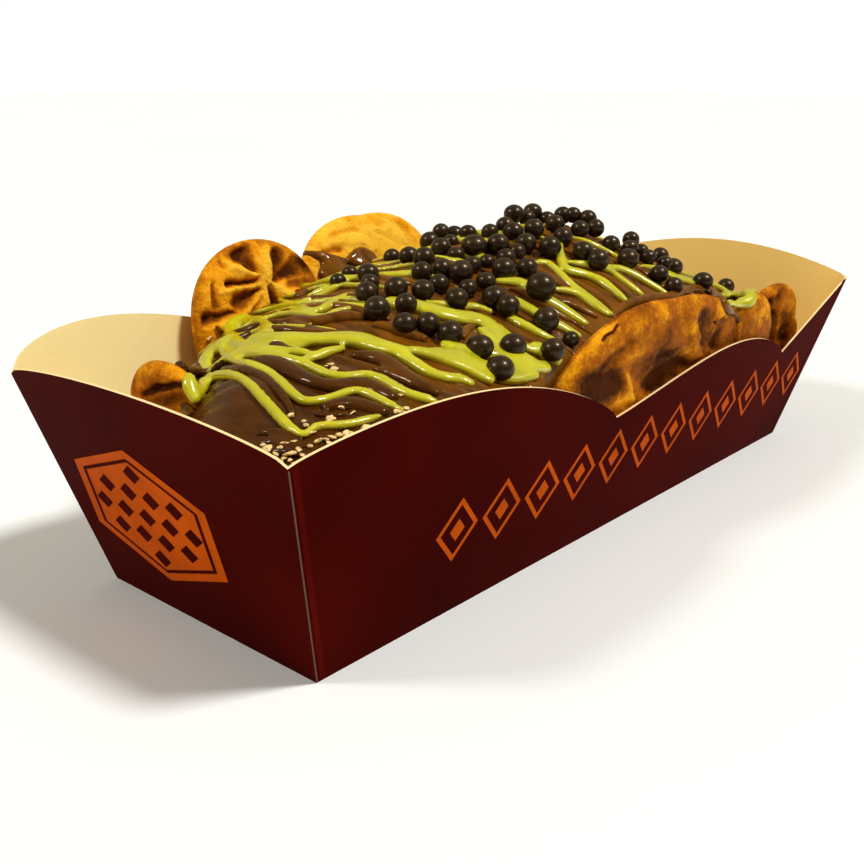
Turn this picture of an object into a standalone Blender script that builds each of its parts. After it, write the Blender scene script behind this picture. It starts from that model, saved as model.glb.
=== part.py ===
"""A waffle under chocolate spread, sauce and chocolate balls, in its folded card tray.

Lengths in the constants are millimetres. The tray's length runs along X, its low near wall faces -Y.
"""
import math
import random

import bmesh
import bpy
from mathutils import Matrix, Vector

MM = 0.001

# The tray: outer floor size, how far each wall leans out, and its height at the four corners
FLOOR_LENGTH = 223.4
FLOOR_WIDTH = 75.0
NEAR_END_FLARE = 15.1
FAR_END_FLARE = 22.5
SIDE_FLARE = 11.7
CORNER_HEIGHT = 55.0
CARD = 0.6
GAP = 0.3
FOOD_GAP = 0.5

# The long walls dip at two notches; distances up the wall are measured along its slope
NOTCH_X = (-9.7, 95.0)
NOTCH_RISE = (36.8, 35.0)
NEAR_SCALLOPS = ((11.9, 1.1, 0.75), (10.2, 1.5, 0.75), (0.0, 1.0, 1.0))
FAR_SCALLOPS = ((14.6, 0.62, 1.0), (10.2, 1.5, 0.75), (0.0, 1.0, 1.0))
SCALLOP_STEPS = (16, 14, 3)
NEAR_END_BULGE = (4.7, 1.0, 0.5)
FAR_END_BULGE = (9.0, 1.0, 0.8)
END_STEPS = 14

# The whole is centred on its own box, so the tray's middle stands a little off the origin
TRAY_CENTRE = Vector((-4.8, -1.7, 0.0))

# Waffle lobes stand on the tray floor as tall arches
LOBE_FOOT = 1.1
LOBE_SEGMENTS = 24
LOBE_RINGS = 10
SMALL_LOBE_SEGMENTS = 16
SMALL_LOBE_RINGS = 8
STAR_RAYS = 8
POCKET_DEPTH = 2.8
SMALL_POCKET_SHARE = 0.6
ARCH_POWER_ABOVE = 2.2
ARCH_POWER_BELOW = 5.0
PILLOW_POWER = 4
HOLLOW_REACH = 0.92
HOLLOW_POWER = 1.2

# Topping mound: stations along X of ridge place, ridge height and the heights at both edges
MOUND_X = (-123.5, -108.0, -85.0, -50.0, -10.0, 30.0, 65.0, 95.0, 112.0)
RIDGE_Y = (-20.0, -14.0, -2.0, 8.0, 10.0, 10.0, 6.0, -6.0, -16.0)
RIDGE_Z = (50.0, 60.0, 64.5, 68.5, 74.0, 77.5, 68.0, 54.5, 42.0)
NEAR_Z = (50.0, 53.5, 56.0, 54.0, 55.0, 56.0, 52.5, 44.0, 36.0)
FAR_Z = (46.0, 50.0, 54.0, 61.0, 66.0, 64.0, 56.0, 44.0, 34.0)
FAR_Y = (-4.0, 6.0, 33.0, 44.0, 44.5, 44.5, 43.5, 30.0, 8.0)
SLAB_INSET = 8.8
NEAR_WALL_END_X = -47.0
NEAR_SLAB_START_X = -36.0
MOUND_FOOT = 1.0
MOUND_FAR_FOOT_X = 106.0
MOUND_COLUMNS = 28
MOUND_ROWS = 9
MOUND_FULLNESS = 1.7

# Sauce strands and chocolate balls
STRAND_PITCH = 12.0
STRAND_RADIUS = 2.3
STRAND_LIFT = 0.8
STRAND_SIDES = 5
STRAND_STEP = 9.5
STRAND_SEED = 11
STRAND_SPAN_X = (-101.0, 98.0)
STRAND_DRIFT = (2.0, 16.0)
STRAND_WAVE = (1.5, 4.0)
STRAND_HALF_WAVES = 2.2
STRAND_FAR_INSET = (9.0, 15.0)
STRAND_NEAR_INSET = (5.0, 9.0)
STRAND_SPREAD = (0.75, 1.25)
BALL_RADIUS = 3.3
BALL_SINK = 0.9
BALL_SEGMENTS = 7
BALL_RINGS = 4
RIDGE_BALLS = 58
BALL_TRIES = 6000
BALL_SEED = 5
BALL_SPAN_X = (-52.0, 104.0)
BALL_SCATTER_Y = (-2.0, 8.0)
BALL_NEAR_INSET = 12.0
BALL_FAR_INSET = 14.0
BALL_PITCH = 2.15
LOOSE_BALLS = ((-62, -9), (-54, -11), (-65, -19), (-58, -23), (-56, -30), (-53, -36), (-45, -38),
               (-58, -42), (-34, -40), (-26, -32), (-24, -40), (-32, -24), (-12, -21), (-46, -7),
               (16, -20), (29, -17), (33, -24), (58, -28))


def smooth_table(stations, values, x):
    """Value at x of a smooth curve through the stations."""
    if x <= stations[0]:
        return values[0]
    for i in range(len(stations) - 1):
        if x <= stations[i + 1]:
            t = (x - stations[i]) / (stations[i + 1] - stations[i])
            before = values[max(i - 1, 0)]
            after = values[min(i + 2, len(values) - 1)]
            a, b = values[i], values[i + 1]
            slope_a = (b - before) * 0.5
            slope_b = (after - a) * 0.5
            return ((2 * t ** 3 - 3 * t ** 2 + 1) * a + (t ** 3 - 2 * t ** 2 + t) * slope_a
                    + (3 * t ** 2 - 2 * t ** 3) * b + (t ** 3 - t ** 2) * slope_b)
    return values[-1]


def new_object(name, bm, material):
    """Turn a bmesh into a named object with a material."""
    bmesh.ops.recalc_face_normals(bm, faces=bm.faces)
    mesh = bpy.data.meshes.new(name)
    bm.to_mesh(mesh)
    bm.free()
    mesh.materials.append(material)
    obj = bpy.data.objects.new(name, mesh)
    bpy.context.scene.collection.objects.link(obj)
    return obj


def new_material(name, colour, roughness):
    """Principled material with one plain colour."""
    material = bpy.data.materials.new(name)
    material.use_nodes = True
    shader = material.node_tree.nodes["Principled BSDF"]
    shader.inputs["Base Color"].default_value = (*colour, 1.0)
    shader.inputs["Roughness"].default_value = roughness
    shader.inputs["Metallic"].default_value = 0.0
    return material


def apply_boolean(target, tools, operation, solver="MANIFOLD"):
    """Join or cut target with the tool objects, then remove the tools."""
    collection = bpy.data.collections.new("boolean_tools")
    bpy.context.scene.collection.children.link(collection)
    for tool in tools:
        collection.objects.link(tool)
    modifier = target.modifiers.new("join", "BOOLEAN")
    modifier.operation = operation
    modifier.operand_type = "COLLECTION"
    modifier.collection = collection
    modifier.solver = solver
    depsgraph = bpy.context.evaluated_depsgraph_get()
    result = bpy.data.meshes.new_from_object(target.evaluated_get(depsgraph))
    target.modifiers.clear()
    target.data = result
    for tool in tools:
        bpy.data.objects.remove(tool)
    bpy.data.collections.remove(collection)


def drop_scraps(obj):
    """Keep the largest closed piece of the mesh."""
    bm = bmesh.new()
    bm.from_mesh(obj.data)
    bmesh.ops.triangulate(bm, faces=bm.faces)
    unseen = set(bm.verts)
    pieces = []
    while unseen:
        stack = [unseen.pop()]
        piece = []
        while stack:
            vert = stack.pop()
            piece.append(vert)
            for edge in vert.link_edges:
                other = edge.other_vert(vert)
                if other in unseen:
                    unseen.remove(other)
                    stack.append(other)
        pieces.append(piece)
    pieces.sort(key=len)
    for piece in pieces[:-1]:
        bmesh.ops.delete(bm, geom=piece, context="VERTS")
    bm.to_mesh(obj.data)
    bm.free()


# Tray

def scallop_edge(start, end, shape, steps):
    """Points from start to end, bulging up by a skewed sine arch; the end point is left out."""
    bulge, skew, power = shape
    points = []
    for i in range(steps):
        t = i / steps
        arch = math.sin(math.pi * t ** skew) ** power if 0 < t < 1 else 0.0
        along = start[0] + (end[0] - start[0]) * t
        up = start[1] + (end[1] - start[1]) * t + bulge * arch
        points.append((along, up))
    return points


def wall_corner_slope(flare):
    """Length up a wall's slope from the floor to the corner height."""
    return math.hypot(CORNER_HEIGHT, flare)


def long_wall_edge(scallops):
    """Top edge of a long wall as (x, distance up the slope), near end first."""
    rise = wall_corner_slope(SIDE_FLARE)
    ends = ((-FLOOR_LENGTH / 2 - NEAR_END_FLARE, rise), (NOTCH_X[0], NOTCH_RISE[0]),
            (NOTCH_X[1], NOTCH_RISE[1]), (FLOOR_LENGTH / 2 + FAR_END_FLARE, rise))
    points = []
    for i, shape in enumerate(scallops):
        points += scallop_edge(ends[i], ends[i + 1], shape, SCALLOP_STEPS[i])
    return points + [ends[-1]]


def end_wall_edge(flare, shape):
    """Top edge of an end wall as (y, distance up the slope), near side first."""
    rise = wall_corner_slope(flare)
    half = FLOOR_WIDTH / 2 + SIDE_FLARE
    return scallop_edge((-half, rise), (half, rise), shape, END_STEPS) + [(half, rise)]


def tray_loops():
    """Matching floor and rim points round the tray, counter-clockwise seen from above."""
    half_length, half_width = FLOOR_LENGTH / 2, FLOOR_WIDTH / 2
    top_near = half_length + NEAR_END_FLARE
    top_far = half_length + FAR_END_FLARE
    top_side = half_width + SIDE_FLARE
    floor, rim = [], []

    def floor_x(x):
        return -half_length + (x + top_near) / (top_near + top_far) * FLOOR_LENGTH

    for side, scallops in ((-1, NEAR_SCALLOPS), (1, FAR_SCALLOPS)):
        slope = wall_corner_slope(SIDE_FLARE)
        wall_floor, wall_rim = [], []
        for x, up in long_wall_edge(scallops):
            lean = half_width + SIDE_FLARE * up / slope
            wall_floor.append(Vector((floor_x(x), side * half_width, 0)))
            wall_rim.append(Vector((x, side * lean, CORNER_HEIGHT * up / slope)))
        flare, shape = ((FAR_END_FLARE, FAR_END_BULGE) if side < 0
                        else (NEAR_END_FLARE, NEAR_END_BULGE))
        slope = wall_corner_slope(flare)
        end_floor, end_rim = [], []
        for y, up in end_wall_edge(flare, shape):
            lean = half_length + flare * up / slope
            end_floor.append(Vector((-side * half_length, y / top_side * half_width, 0)))
            end_rim.append(Vector((-side * lean, y, CORNER_HEIGHT * up / slope)))
        if side > 0:
            for points in (wall_floor, wall_rim, end_floor, end_rim):
                points.reverse()
        floor += wall_floor[:-1] + end_floor[:-1]
        rim += wall_rim[:-1] + end_rim[:-1]
    return floor, rim


def make_tray(material):
    """One sheet of card: floor and four leaning walls, thickened inwards."""
    floor, rim = tray_loops()
    bm = bmesh.new()
    low = [bm.verts.new(point * MM) for point in floor]
    high = [bm.verts.new(point * MM) for point in rim]
    count = len(low)
    bm.faces.new(reversed(low))
    for i in range(count):
        j = (i + 1) % count
        bm.faces.new((low[i], low[j], high[j], high[i]))
    tray = new_object("tray", bm, material)
    card = tray.modifiers.new("card", "SOLIDIFY")
    card.thickness = CARD * MM
    card.offset = -1
    card.use_even_offset = True
    return tray


# Waffle

def make_lobe(name, spec, material, grow=0.0):
    """A puffy arch-shaped waffle lobe with a star of ridges and pockets on both faces.

    spec: width, crown height above the floor, thickness, foot place (x, y), lean in degrees,
    heading in degrees, height of the star's middle, turn of the star, whether it is a small one.
    """
    half = spec["width"] / 2
    centre = spec["star"]
    up_reach = spec["crown"] - centre
    down_reach = centre - spec["base"]
    thick = spec["thick"] / 2
    segments, rings = ((SMALL_LOBE_SEGMENTS, SMALL_LOBE_RINGS) if spec["small"]
                       else (LOBE_SEGMENTS, LOBE_RINGS))
    bm = bmesh.new()
    bmesh.ops.create_uvsphere(bm, u_segments=segments, v_segments=rings, radius=1.0)
    for vert in bm.verts:
        angle = math.atan2(vert.co.y, vert.co.x)
        spread = min(math.hypot(vert.co.x, vert.co.y), 1.0)
        sine, cosine = math.sin(angle), math.cos(angle)
        power = ARCH_POWER_ABOVE if sine > 0 else ARCH_POWER_BELOW
        tall = up_reach if sine > 0 else down_reach
        radius = (abs(cosine / half) ** power + abs(sine / tall) ** power) ** (-1 / power)
        star = 0.5 - 0.5 * math.cos(STAR_RAYS * (angle + spec["turn"]))
        hollow = math.sin(math.pi * min(spread / HOLLOW_REACH, 1.0)) ** HOLLOW_POWER
        pocket = POCKET_DEPTH * star * hollow * (SMALL_POCKET_SHARE if spec["small"] else 1.0)
        body = thick * (1 - spread ** PILLOW_POWER) ** 0.5 - pocket
        side = 1 if vert.co.z > 0 else -1
        if abs(vert.co.z) < 0.001:
            side, body = 1, 0.0
        vert.co = Vector((radius * spread * cosine, side * body, centre + radius * spread * sine))
    bmesh.ops.triangulate(bm, faces=bm.faces)
    bmesh.ops.recalc_face_normals(bm, faces=bm.faces)
    bm.normal_update()
    for vert in bm.verts:
        vert.co += vert.normal * grow
    place = (Matrix.Translation(Vector((*spec["foot"], 0.0)))
             @ Matrix.Rotation(math.radians(spec["heading"]), 4, "Z")
             @ Matrix.Rotation(math.radians(-spec["lean"]), 4, "X"))
    bmesh.ops.transform(bm, matrix=Matrix.Scale(MM, 4) @ place, verts=bm.verts)
    return new_object(name, bm, material)


def lobe(width, crown, thick, foot, lean, heading=0.0, star=45.0, turn=0.0, base=LOBE_FOOT,
         small=False):
    """Measures of one lobe."""
    return {"width": width, "crown": crown, "thick": thick, "foot": foot, "lean": lean,
            "heading": heading, "star": star, "turn": turn, "base": base, "small": small}


# Far side: two tall lobes, then two lower ones behind the topping; near side: one broad lobe
WAFFLE_LOBES = {
    "waffle_rear": (
        lobe(46, 81, 11.0, (-56, 30.0), 12.5, star=58, turn=0.25),
        lobe(58, 85, 10.5, (-9, 30.2), 14.0, star=60, turn=0.1),
        lobe(48, 71, 10.5, (37, 30.2), 13.0, star=48, turn=0.3, small=True),
        lobe(44, 63, 10.5, (76, 30.2), 12.5, star=44, turn=0.2, small=True),
    ),
    "waffle_front": (
        lobe(108, 64.5, 10.5, (19, -30.4), 11.5, heading=180, star=34, turn=0.2),
        lobe(34, 58, 10.0, (74.5, -30.4), 11.5, heading=180, star=36, turn=0.35, small=True),
    ),
    "waffle_tail": (
        lobe(24, 57, 9.0, (105, -27.0), 12.0, heading=165, star=40, turn=0.1, base=17, small=True),
        lobe(22, 51, 9.0, (114.0, -26.0), 16.0, heading=132, star=38, turn=0.2, base=28, small=True),
    ),
    "waffle_corner": (
        lobe(30, 62, 9.5, (-98.5, 12.0), 11.0, heading=90, star=44, turn=0.3, small=True),
    ),
}


def make_waffle(name, material):
    """The lobes of one piece of waffle, joined."""
    specs = WAFFLE_LOBES[name]
    first = make_lobe(name, specs[0], material)
    others = [make_lobe(f"{name}_lobe", spec, material) for spec in specs[1:]]
    if others:
        apply_boolean(first, others, "UNION")
        drop_scraps(first)
    return first


# Topping

def wall_lean(z):
    """How far a long wall's face stands out at height z."""
    return SIDE_FLARE * z / CORNER_HEIGHT


def near_edge_y(x):
    """Near edge of the mound: the tray wall on the left, the middle of the waffle on the right."""
    z = smooth_table(MOUND_X, NEAR_Z, x)
    at_wall = -(FLOOR_WIDTH / 2 - CARD - 2 * GAP + wall_lean(z))
    at_slab = -(FLOOR_WIDTH / 2 - SLAB_INSET + wall_lean(z))
    t = (x - NEAR_WALL_END_X) / (NEAR_SLAB_START_X - NEAR_WALL_END_X)
    t = min(max(t, 0.0), 1.0)
    return at_wall + (at_slab - at_wall) * t


def mound_height(x, y):
    """Height of the topping's bare surface."""
    ridge_y = smooth_table(MOUND_X, RIDGE_Y, x)
    ridge_z = smooth_table(MOUND_X, RIDGE_Z, x)
    if y < ridge_y:
        edge_y = near_edge_y(x)
        edge_z = smooth_table(MOUND_X, NEAR_Z, x)
    else:
        edge_y = smooth_table(MOUND_X, FAR_Y, x)
        edge_z = smooth_table(MOUND_X, FAR_Z, x)
    t = min(abs((y - ridge_y) / (edge_y - ridge_y)), 1.0)
    return ridge_z - (ridge_z - edge_z) * t ** MOUND_FULLNESS


def mound_normal(x, y):
    """Upward unit normal of the mound's surface."""
    step = 0.5
    dx = (mound_height(x + step, y) - mound_height(x - step, y)) / (2 * step)
    dy = (mound_height(x, y + step) - mound_height(x, y - step)) / (2 * step)
    return Vector((-dx, -dy, 1.0)).normalized()


def make_mound(material):
    """A grid shaped to the mound's surface, closed down to the tray floor."""
    bm = bmesh.new()
    bmesh.ops.create_grid(bm, x_segments=MOUND_COLUMNS, y_segments=MOUND_ROWS, size=1.0)
    start, end = MOUND_X[0], MOUND_X[-1]
    for vert in bm.verts:
        x = start + (end - start) * (vert.co.x + 1) / 2
        near, far = near_edge_y(x), smooth_table(MOUND_X, FAR_Y, x)
        y = near + (far - near) * (vert.co.y + 1) / 2
        vert.co = Vector((x, y, mound_height(x, y)))
    rim = [edge for edge in bm.edges if edge.is_boundary]
    skirt = bmesh.ops.extrude_edge_only(bm, edges=rim)["geom"]
    foot = [item for item in skirt if isinstance(item, bmesh.types.BMVert)]
    half_length = FLOOR_LENGTH / 2 - CARD - 2 * GAP
    for vert in foot:
        x, y, z = vert.co
        along = (x - start) / (end - start)
        near, far = near_edge_y(x), smooth_table(MOUND_X, FAR_Y, x)
        drop = wall_lean(z) * (2 * (y - near) / (far - near) - 1)
        foot_x = -half_length + (MOUND_FAR_FOOT_X + half_length) * along
        vert.co = Vector((foot_x, y - drop, MOUND_FOOT))
    bmesh.ops.holes_fill(bm, edges=[edge for edge in bm.edges if edge.is_boundary], sides=0)
    bmesh.ops.transform(bm, matrix=Matrix.Scale(MM, 4), verts=bm.verts)
    return new_object("topping", bm, material)


def make_strand(path, radius, material):
    """A tube of sauce along surface points (x, y)."""
    bm = bmesh.new()
    rings = []
    places = [Vector((x, y, mound_height(x, y))) for x, y in path]
    for i, place in enumerate(places):
        ahead = places[min(i + 1, len(places) - 1)] - places[max(i - 1, 0)]
        ahead.normalize()
        up = mound_normal(place.x, place.y)
        aside = ahead.cross(up).normalized()
        up = aside.cross(ahead)
        size = radius * (0.55 if i in (0, len(places) - 1) else 1.0)
        ring = []
        for k in range(STRAND_SIDES):
            turn = 2 * math.pi * (k + 0.5) / STRAND_SIDES
            point = (place + aside * size * math.cos(turn)
                     + up * (STRAND_LIFT + size * math.sin(turn)))
            ring.append(bm.verts.new(point))
        rings.append(ring)
    for first, second in zip(rings, rings[1:]):
        for k in range(STRAND_SIDES):
            j = (k + 1) % STRAND_SIDES
            bm.faces.new((first[k], first[j], second[j], second[k]))
    bm.faces.new(rings[0])
    bm.faces.new(reversed(rings[-1]))
    bmesh.ops.transform(bm, matrix=Matrix.Scale(MM, 4), verts=bm.verts)
    return new_object("strand", bm, material)


def strand_paths():
    """Sauce drizzled across the mound from the far side to the near side, pass by pass."""
    draw = random.Random(STRAND_SEED)
    paths = []
    x, end_x = STRAND_SPAN_X
    while x < end_x:
        drift = draw.uniform(*STRAND_DRIFT)
        wave = draw.uniform(*STRAND_WAVE)
        phase = draw.uniform(0, 6.28)
        far = smooth_table(MOUND_X, FAR_Y, x) - draw.uniform(*STRAND_FAR_INSET)
        near = near_edge_y(x + drift) + draw.uniform(*STRAND_NEAR_INSET)
        steps = max(int((far - near) / STRAND_STEP), 4)
        path = []
        for i in range(steps + 1):
            t = i / steps
            swing = math.sin(STRAND_HALF_WAVES * math.pi * t + phase)
            sway = wave * swing * math.sin(math.pi * t) ** 0.5
            path.append((x + drift * t + sway, far + (near - far) * t))
        paths.append((path, STRAND_RADIUS * draw.uniform(*STRAND_SPREAD)))
        x += STRAND_PITCH * draw.uniform(*STRAND_SPREAD)
    return paths


def ball_places():
    """Balls spread thickly along the ridge and thinly down the near slope, none touching."""
    draw = random.Random(BALL_SEED)
    places = list(LOOSE_BALLS)
    for _ in range(BALL_TRIES):
        if len(places) == RIDGE_BALLS + len(LOOSE_BALLS):
            break
        x = draw.uniform(*BALL_SPAN_X)
        y = smooth_table(MOUND_X, RIDGE_Y, x) + draw.gauss(*BALL_SCATTER_Y)
        if near_edge_y(x) + BALL_NEAR_INSET < y < smooth_table(MOUND_X, FAR_Y, x) - BALL_FAR_INSET:
            if all(math.hypot(x - a, y - b) > BALL_PITCH * BALL_RADIUS for a, b in places):
                places.append((x, y))
    return places


def make_ball(place, material):
    """One chocolate ball, sunk a little into the surface."""
    x, y = place
    centre = Vector((x, y, mound_height(x, y))) + mound_normal(x, y) * (BALL_RADIUS - BALL_SINK)
    bm = bmesh.new()
    bmesh.ops.create_uvsphere(bm, u_segments=BALL_SEGMENTS, v_segments=BALL_RINGS,
                              radius=BALL_RADIUS)
    turn = Matrix.Rotation(x * 1.7 + y, 4, "X") @ Matrix.Rotation(x - y * 1.3, 4, "Y")
    bmesh.ops.transform(bm, matrix=Matrix.Scale(MM, 4) @ Matrix.Translation(centre) @ turn,
                        verts=bm.verts)
    return new_object("ball", bm, material)


def make_topping(material):
    """Mound with its strands and balls fused on, cut clear of the waffle pieces."""
    topping = make_mound(material)
    extras = [make_strand(path, radius, material) for path, radius in strand_paths()]
    extras += [make_ball(place, material) for place in ball_places()]
    apply_boolean(topping, extras, "UNION")
    cutters = [make_lobe("cutter", spec, material, grow=FOOD_GAP)
               for specs in WAFFLE_LOBES.values() for spec in specs]
    apply_boolean(topping, cutters, "DIFFERENCE")
    drop_scraps(topping)
    return topping


def main():
    for obj in list(bpy.data.objects):
        bpy.data.objects.remove(obj)
    card = new_material("card", (0.05, 0.0, 0.001), 0.45)
    waffle = new_material("waffle", (0.62, 0.3, 0.03), 0.6)
    spread = new_material("chocolate", (0.13, 0.045, 0.006), 0.3)
    pieces = [make_tray(card)]
    pieces += [make_waffle(name, waffle) for name in WAFFLE_LOBES]
    pieces.append(make_topping(spread))
    centre = bpy.data.objects.new("waffle_boat", None)
    centre.location = TRAY_CENTRE * MM
    bpy.context.scene.collection.objects.link(centre)
    for piece in pieces:
        piece.parent = centre
        piece.data.set_sharp_from_angle(angle=math.radians(40))


if __name__ == "__main__":
    main()
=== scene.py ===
"""A waffle under chocolate spread, green sauce and chocolate balls, in its folded card tray.

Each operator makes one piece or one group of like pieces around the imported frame. Shapes are worked
out in tray millimetres: the middle of the tray's floor is the origin, X runs along the tray, the near
wall faces -Y, and placed() moves a finished mesh to its place in the frame, in metres.
"""

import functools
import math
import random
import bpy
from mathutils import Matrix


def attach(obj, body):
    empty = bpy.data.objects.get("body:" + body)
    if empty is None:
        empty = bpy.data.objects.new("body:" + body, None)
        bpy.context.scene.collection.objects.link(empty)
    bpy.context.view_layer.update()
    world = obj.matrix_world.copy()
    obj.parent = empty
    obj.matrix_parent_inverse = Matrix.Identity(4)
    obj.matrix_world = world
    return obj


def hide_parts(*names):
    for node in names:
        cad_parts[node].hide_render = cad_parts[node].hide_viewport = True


bl_info = {
    "name": "Waffle Tray",
    "version": (1, 0, 0),
    "blender": (4, 5, 0),
    "location": "View3D > Sidebar > Waffle",
    "description": "Waffle with chocolate, sauce and chocolate balls in a card tray",
    "category": "Object",
}

import bmesh
import bpy
from mathutils import Matrix, Vector, noise
from mathutils.bvhtree import BVHTree

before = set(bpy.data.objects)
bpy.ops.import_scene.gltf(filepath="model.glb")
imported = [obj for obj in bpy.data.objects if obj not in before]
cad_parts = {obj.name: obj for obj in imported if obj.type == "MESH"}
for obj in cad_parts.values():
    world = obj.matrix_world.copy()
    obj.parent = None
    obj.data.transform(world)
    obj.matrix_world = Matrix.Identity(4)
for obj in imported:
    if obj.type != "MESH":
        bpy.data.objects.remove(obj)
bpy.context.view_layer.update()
MM = 0.001

# The tray, as in the solid: floor, wall flares, corner height, card, and the arches of its rim, each with
# its bulge, skew and power
FLOOR_LENGTH = 223.4
FLOOR_WIDTH = 75.0
NEAR_END_FLARE = 15.1
FAR_END_FLARE = 22.5
SIDE_FLARE = 11.7
CORNER_HEIGHT = 55.0
CARD = 0.6
GAP = 0.3
NOTCH_X = (-9.7, 95.0)
NOTCH_RISE = (36.8, 35.0)
NEAR_SCALLOPS = ((11.9, 1.1, 0.75), (10.2, 1.5, 0.75), (0.0, 1.0, 1.0))
FAR_SCALLOPS = ((14.6, 0.62, 1.0), (10.2, 1.5, 0.75), (0.0, 1.0, 1.0))
SCALLOP_STEPS = (48, 40, 16)
NEAR_END_BULGE = (4.7, 1.0, 0.5)
FAR_END_BULGE = (9.0, 1.0, 0.8)
END_STEPS = 40
TRAY_CENTRE = Vector((-4.8, -1.7, 0.0))
FOLD_ANGLE = math.radians(35)
TALL_EDGE = 20.0
WALL_CUTS = 8

# The waffle's lobes: outline as in the solid, fineness of their mesh, and the star of ridges and pockets.
# FACE_END, RIM_BAND and POCKET_END run from 0 in the middle of a face to 1 at its rim.
LOBE_FOOT = 1.1
CROWN_POWER = 2.2
FOOT_POWER = 5.0
LOBE_CELL = 0.64
LOBE_AROUND = 0.8
LOBE_ACROSS = 0.72
FACE_END = (0.88, 1.0)
RIM_BAND = (0.8, 0.97)
RIM_NEAR = 0.001
STAR_RAYS = 8
STAR_MIDDLE = (2.0, 6.0)
STAR_WAVE = (0.16, 9)
RIDGE_HALF_WIDTH = 1.9
RIDGE_WAVE = (0.35, 7)
POCKET_SLOPE = 2.6
POCKET_END = (0.7, 0.9)
POCKET_END_WAVE = (0.05, 8)
# Pockets darken with real browning and with painted shade in them
POCKET_BROWNING_AND_SHADE = 0.45
USUAL_BROWNING = 0.3
LOBE_SEED_STEP = 7.3

# Marks of the photograph on a lobe: how far one counts and fades, in pixels and in its own radius
MARK_DEEPEST = 2.8
MARK_REACH = 20
MARK_FADE = (0.2, 1.6)
MARK_WAVE = (2.2, 3)

# The topping's mound, as in the solid: stations along X, the ridge and the heights at both edges
MOUND_X = (-123.5, -108.0, -85.0, -50.0, -10.0, 30.0, 65.0, 95.0, 112.0)
RIDGE_Y = (-20.0, -14.0, -2.0, 8.0, 10.0, 10.0, 6.0, -6.0, -16.0)
RIDGE_Z = (50.0, 60.0, 64.5, 68.5, 74.0, 77.5, 68.0, 54.5, 42.0)
NEAR_Z = (50.0, 53.5, 56.0, 54.0, 55.0, 56.0, 52.5, 44.0, 36.0)
FAR_Z = (46.0, 50.0, 54.0, 61.0, 66.0, 64.0, 56.0, 44.0, 34.0)
FAR_Y = (-4.0, 6.0, 33.0, 44.0, 44.5, 44.5, 43.5, 30.0, 8.0)
SLAB_INSET = 8.8
NEAR_WALL_END_X = -47.0
NEAR_SLAB_START_X = -36.0
MOUND_FOOT = 1.0
MOUND_FAR_FOOT_X = 106.0
MOUND_COLUMNS = 270
MOUND_ROWS = 110
MOUND_FULLNESS = 1.7
SKIRT_CUTS = 6
SLOPE_STEP = 0.8

# Relief in layers: height, size along X, size along Y, seed
LOBE_RELIEF = ((0.55, 9, 9, 0.0), (0.3, 3.2, 3.2, 0.0))
MOUND_LUMPS = ((1.3, 21, 17, 4.0), (0.7, 10, 12, 9.0))
STREAKS = ((0.95, 3.4, 30, 1.0), (0.32, 1.5, 16, 6.0))
STREAK_SLANT = 0.35
STREAK_WAVE = (3.0, 28)

# Flaps glued inside the end walls, and seams outside at the corners: each strip has its start and end
# from the corner and how proud it stands
FLAP_INSET = 1.2
FLAP_GAP = 0.02
FLAP_THINNESS = 0.6
FLAP_UP = (3.0, 54.0)
FLAP_REACH = (29.8, 24.0)
FLAP_TOP = 49.7
SEAM_STRIPS = ((0.0, 0.36, 0.03), (0.95, 2.5, 0.03))
SEAM_THICKNESS = 0.12 * MM
SEAM_FOOT = 0.3
SEAM_SHORT = 0.5
# How much lighter the print is on the fold beside each seam: a painted sheen
FOLD_SHEEN_LIFT = 1.5

# Print: on each end wall an orange hexagon with a thin dark line and dark diamonds, on each long wall a
# row of framed diamonds. Half sizes are along and up the wall.
PRINT_PROUD = 0.06
OVERPRINT_PROUD = 0.1
HEXAGON_Y = 9.0
HEXAGON_UP = 28.0
HEXAGON_HALF = (29.0, 18.0)
HEXAGON_LINE_HALF = (25.4, 15.8)
HEXAGON_LINE_WIDTH = 0.8
DARK_HALF = (3.3, 2.5)
DARK_STEPS = (-2, -1, 0, 1, 2)
DARK_PITCH = (8.6, 5.8)
DARK_REACH = (18.0, 14.0, 2.0)
ROW_COUNT = 12
ROW_START = -72.0
ROW_PITCH = 16.5
ROW_UP = 24.0
ROW_FRAME_HALF = (7.4, 8.6)
ROW_FRAME_WIDTH = 1.1
ROW_DOT_HALF = (2.6, 3.0)

# Laying things on the food, in millimetres
TREE_CELL = 1.6
NEAREST_FOOD = 120.0
FARTHEST_FOOD = 520.0
REST_GAP = 0.04
SIGHT_MARGIN = 1.0

# Runs of chocolate and sauce: those that the photograph shows, then the spans that a rule draws from
USUAL_PIXEL = 0.28
END_TAPER = 0.6
WIDENING = 1.42
UNEVEN_WIDTH = (0.88, 1.12)
RULE_STEPS = 12
RULE_DRIFT = (4, 14)
RULE_WAVE = (1.0, 3.0)
RULE_WAVES = 2.2
RULE_INSET = (0.5, 5)
RULE_REACH = (0.3, 1.0)
RULE_SIZE = (0.7, 1.35)
RULE_UNEVEN = (0.85, 1.15)
RULE_PITCH = (0.6, 1.4)
CHOCOLATE_LIFT = 0.15
SAUCE_LIFT = 0.45
CHOCOLATE_HEIGHT = 2.2
SAUCE_HEIGHT = 2.4
SMOOTH_PASSES = 5
# Share of a run's height near the food that gets the darker sauce colour: partly thin sauce, partly painted
# contact shade
THIN_AND_SHADE_SHARE = 0.55

# Balls: sizes beside the usual radius, then where a rule lays those on the far side
BALL_PLACE_SEED = 5
BALL_FORM_SEED = 8
BALL_SINK = 0.8
BALL_SQUEEZE = 0.97
BALL_SIZES = (0.68, 1.22)
BALL_STRETCH = ((0.95, 1.06), (0.95, 1.06), (0.9, 1.0))
FAR_BALL_SIZES = (0.86, 1.14)
FAR_BALLS_X = (-22, 100)
FAR_BALLS_PAST_RIDGE = 11
FAR_BALLS_SPREAD = 8
FAR_BALLS_INSET = 7
FAR_BALL_TRIES = 4000

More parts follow.
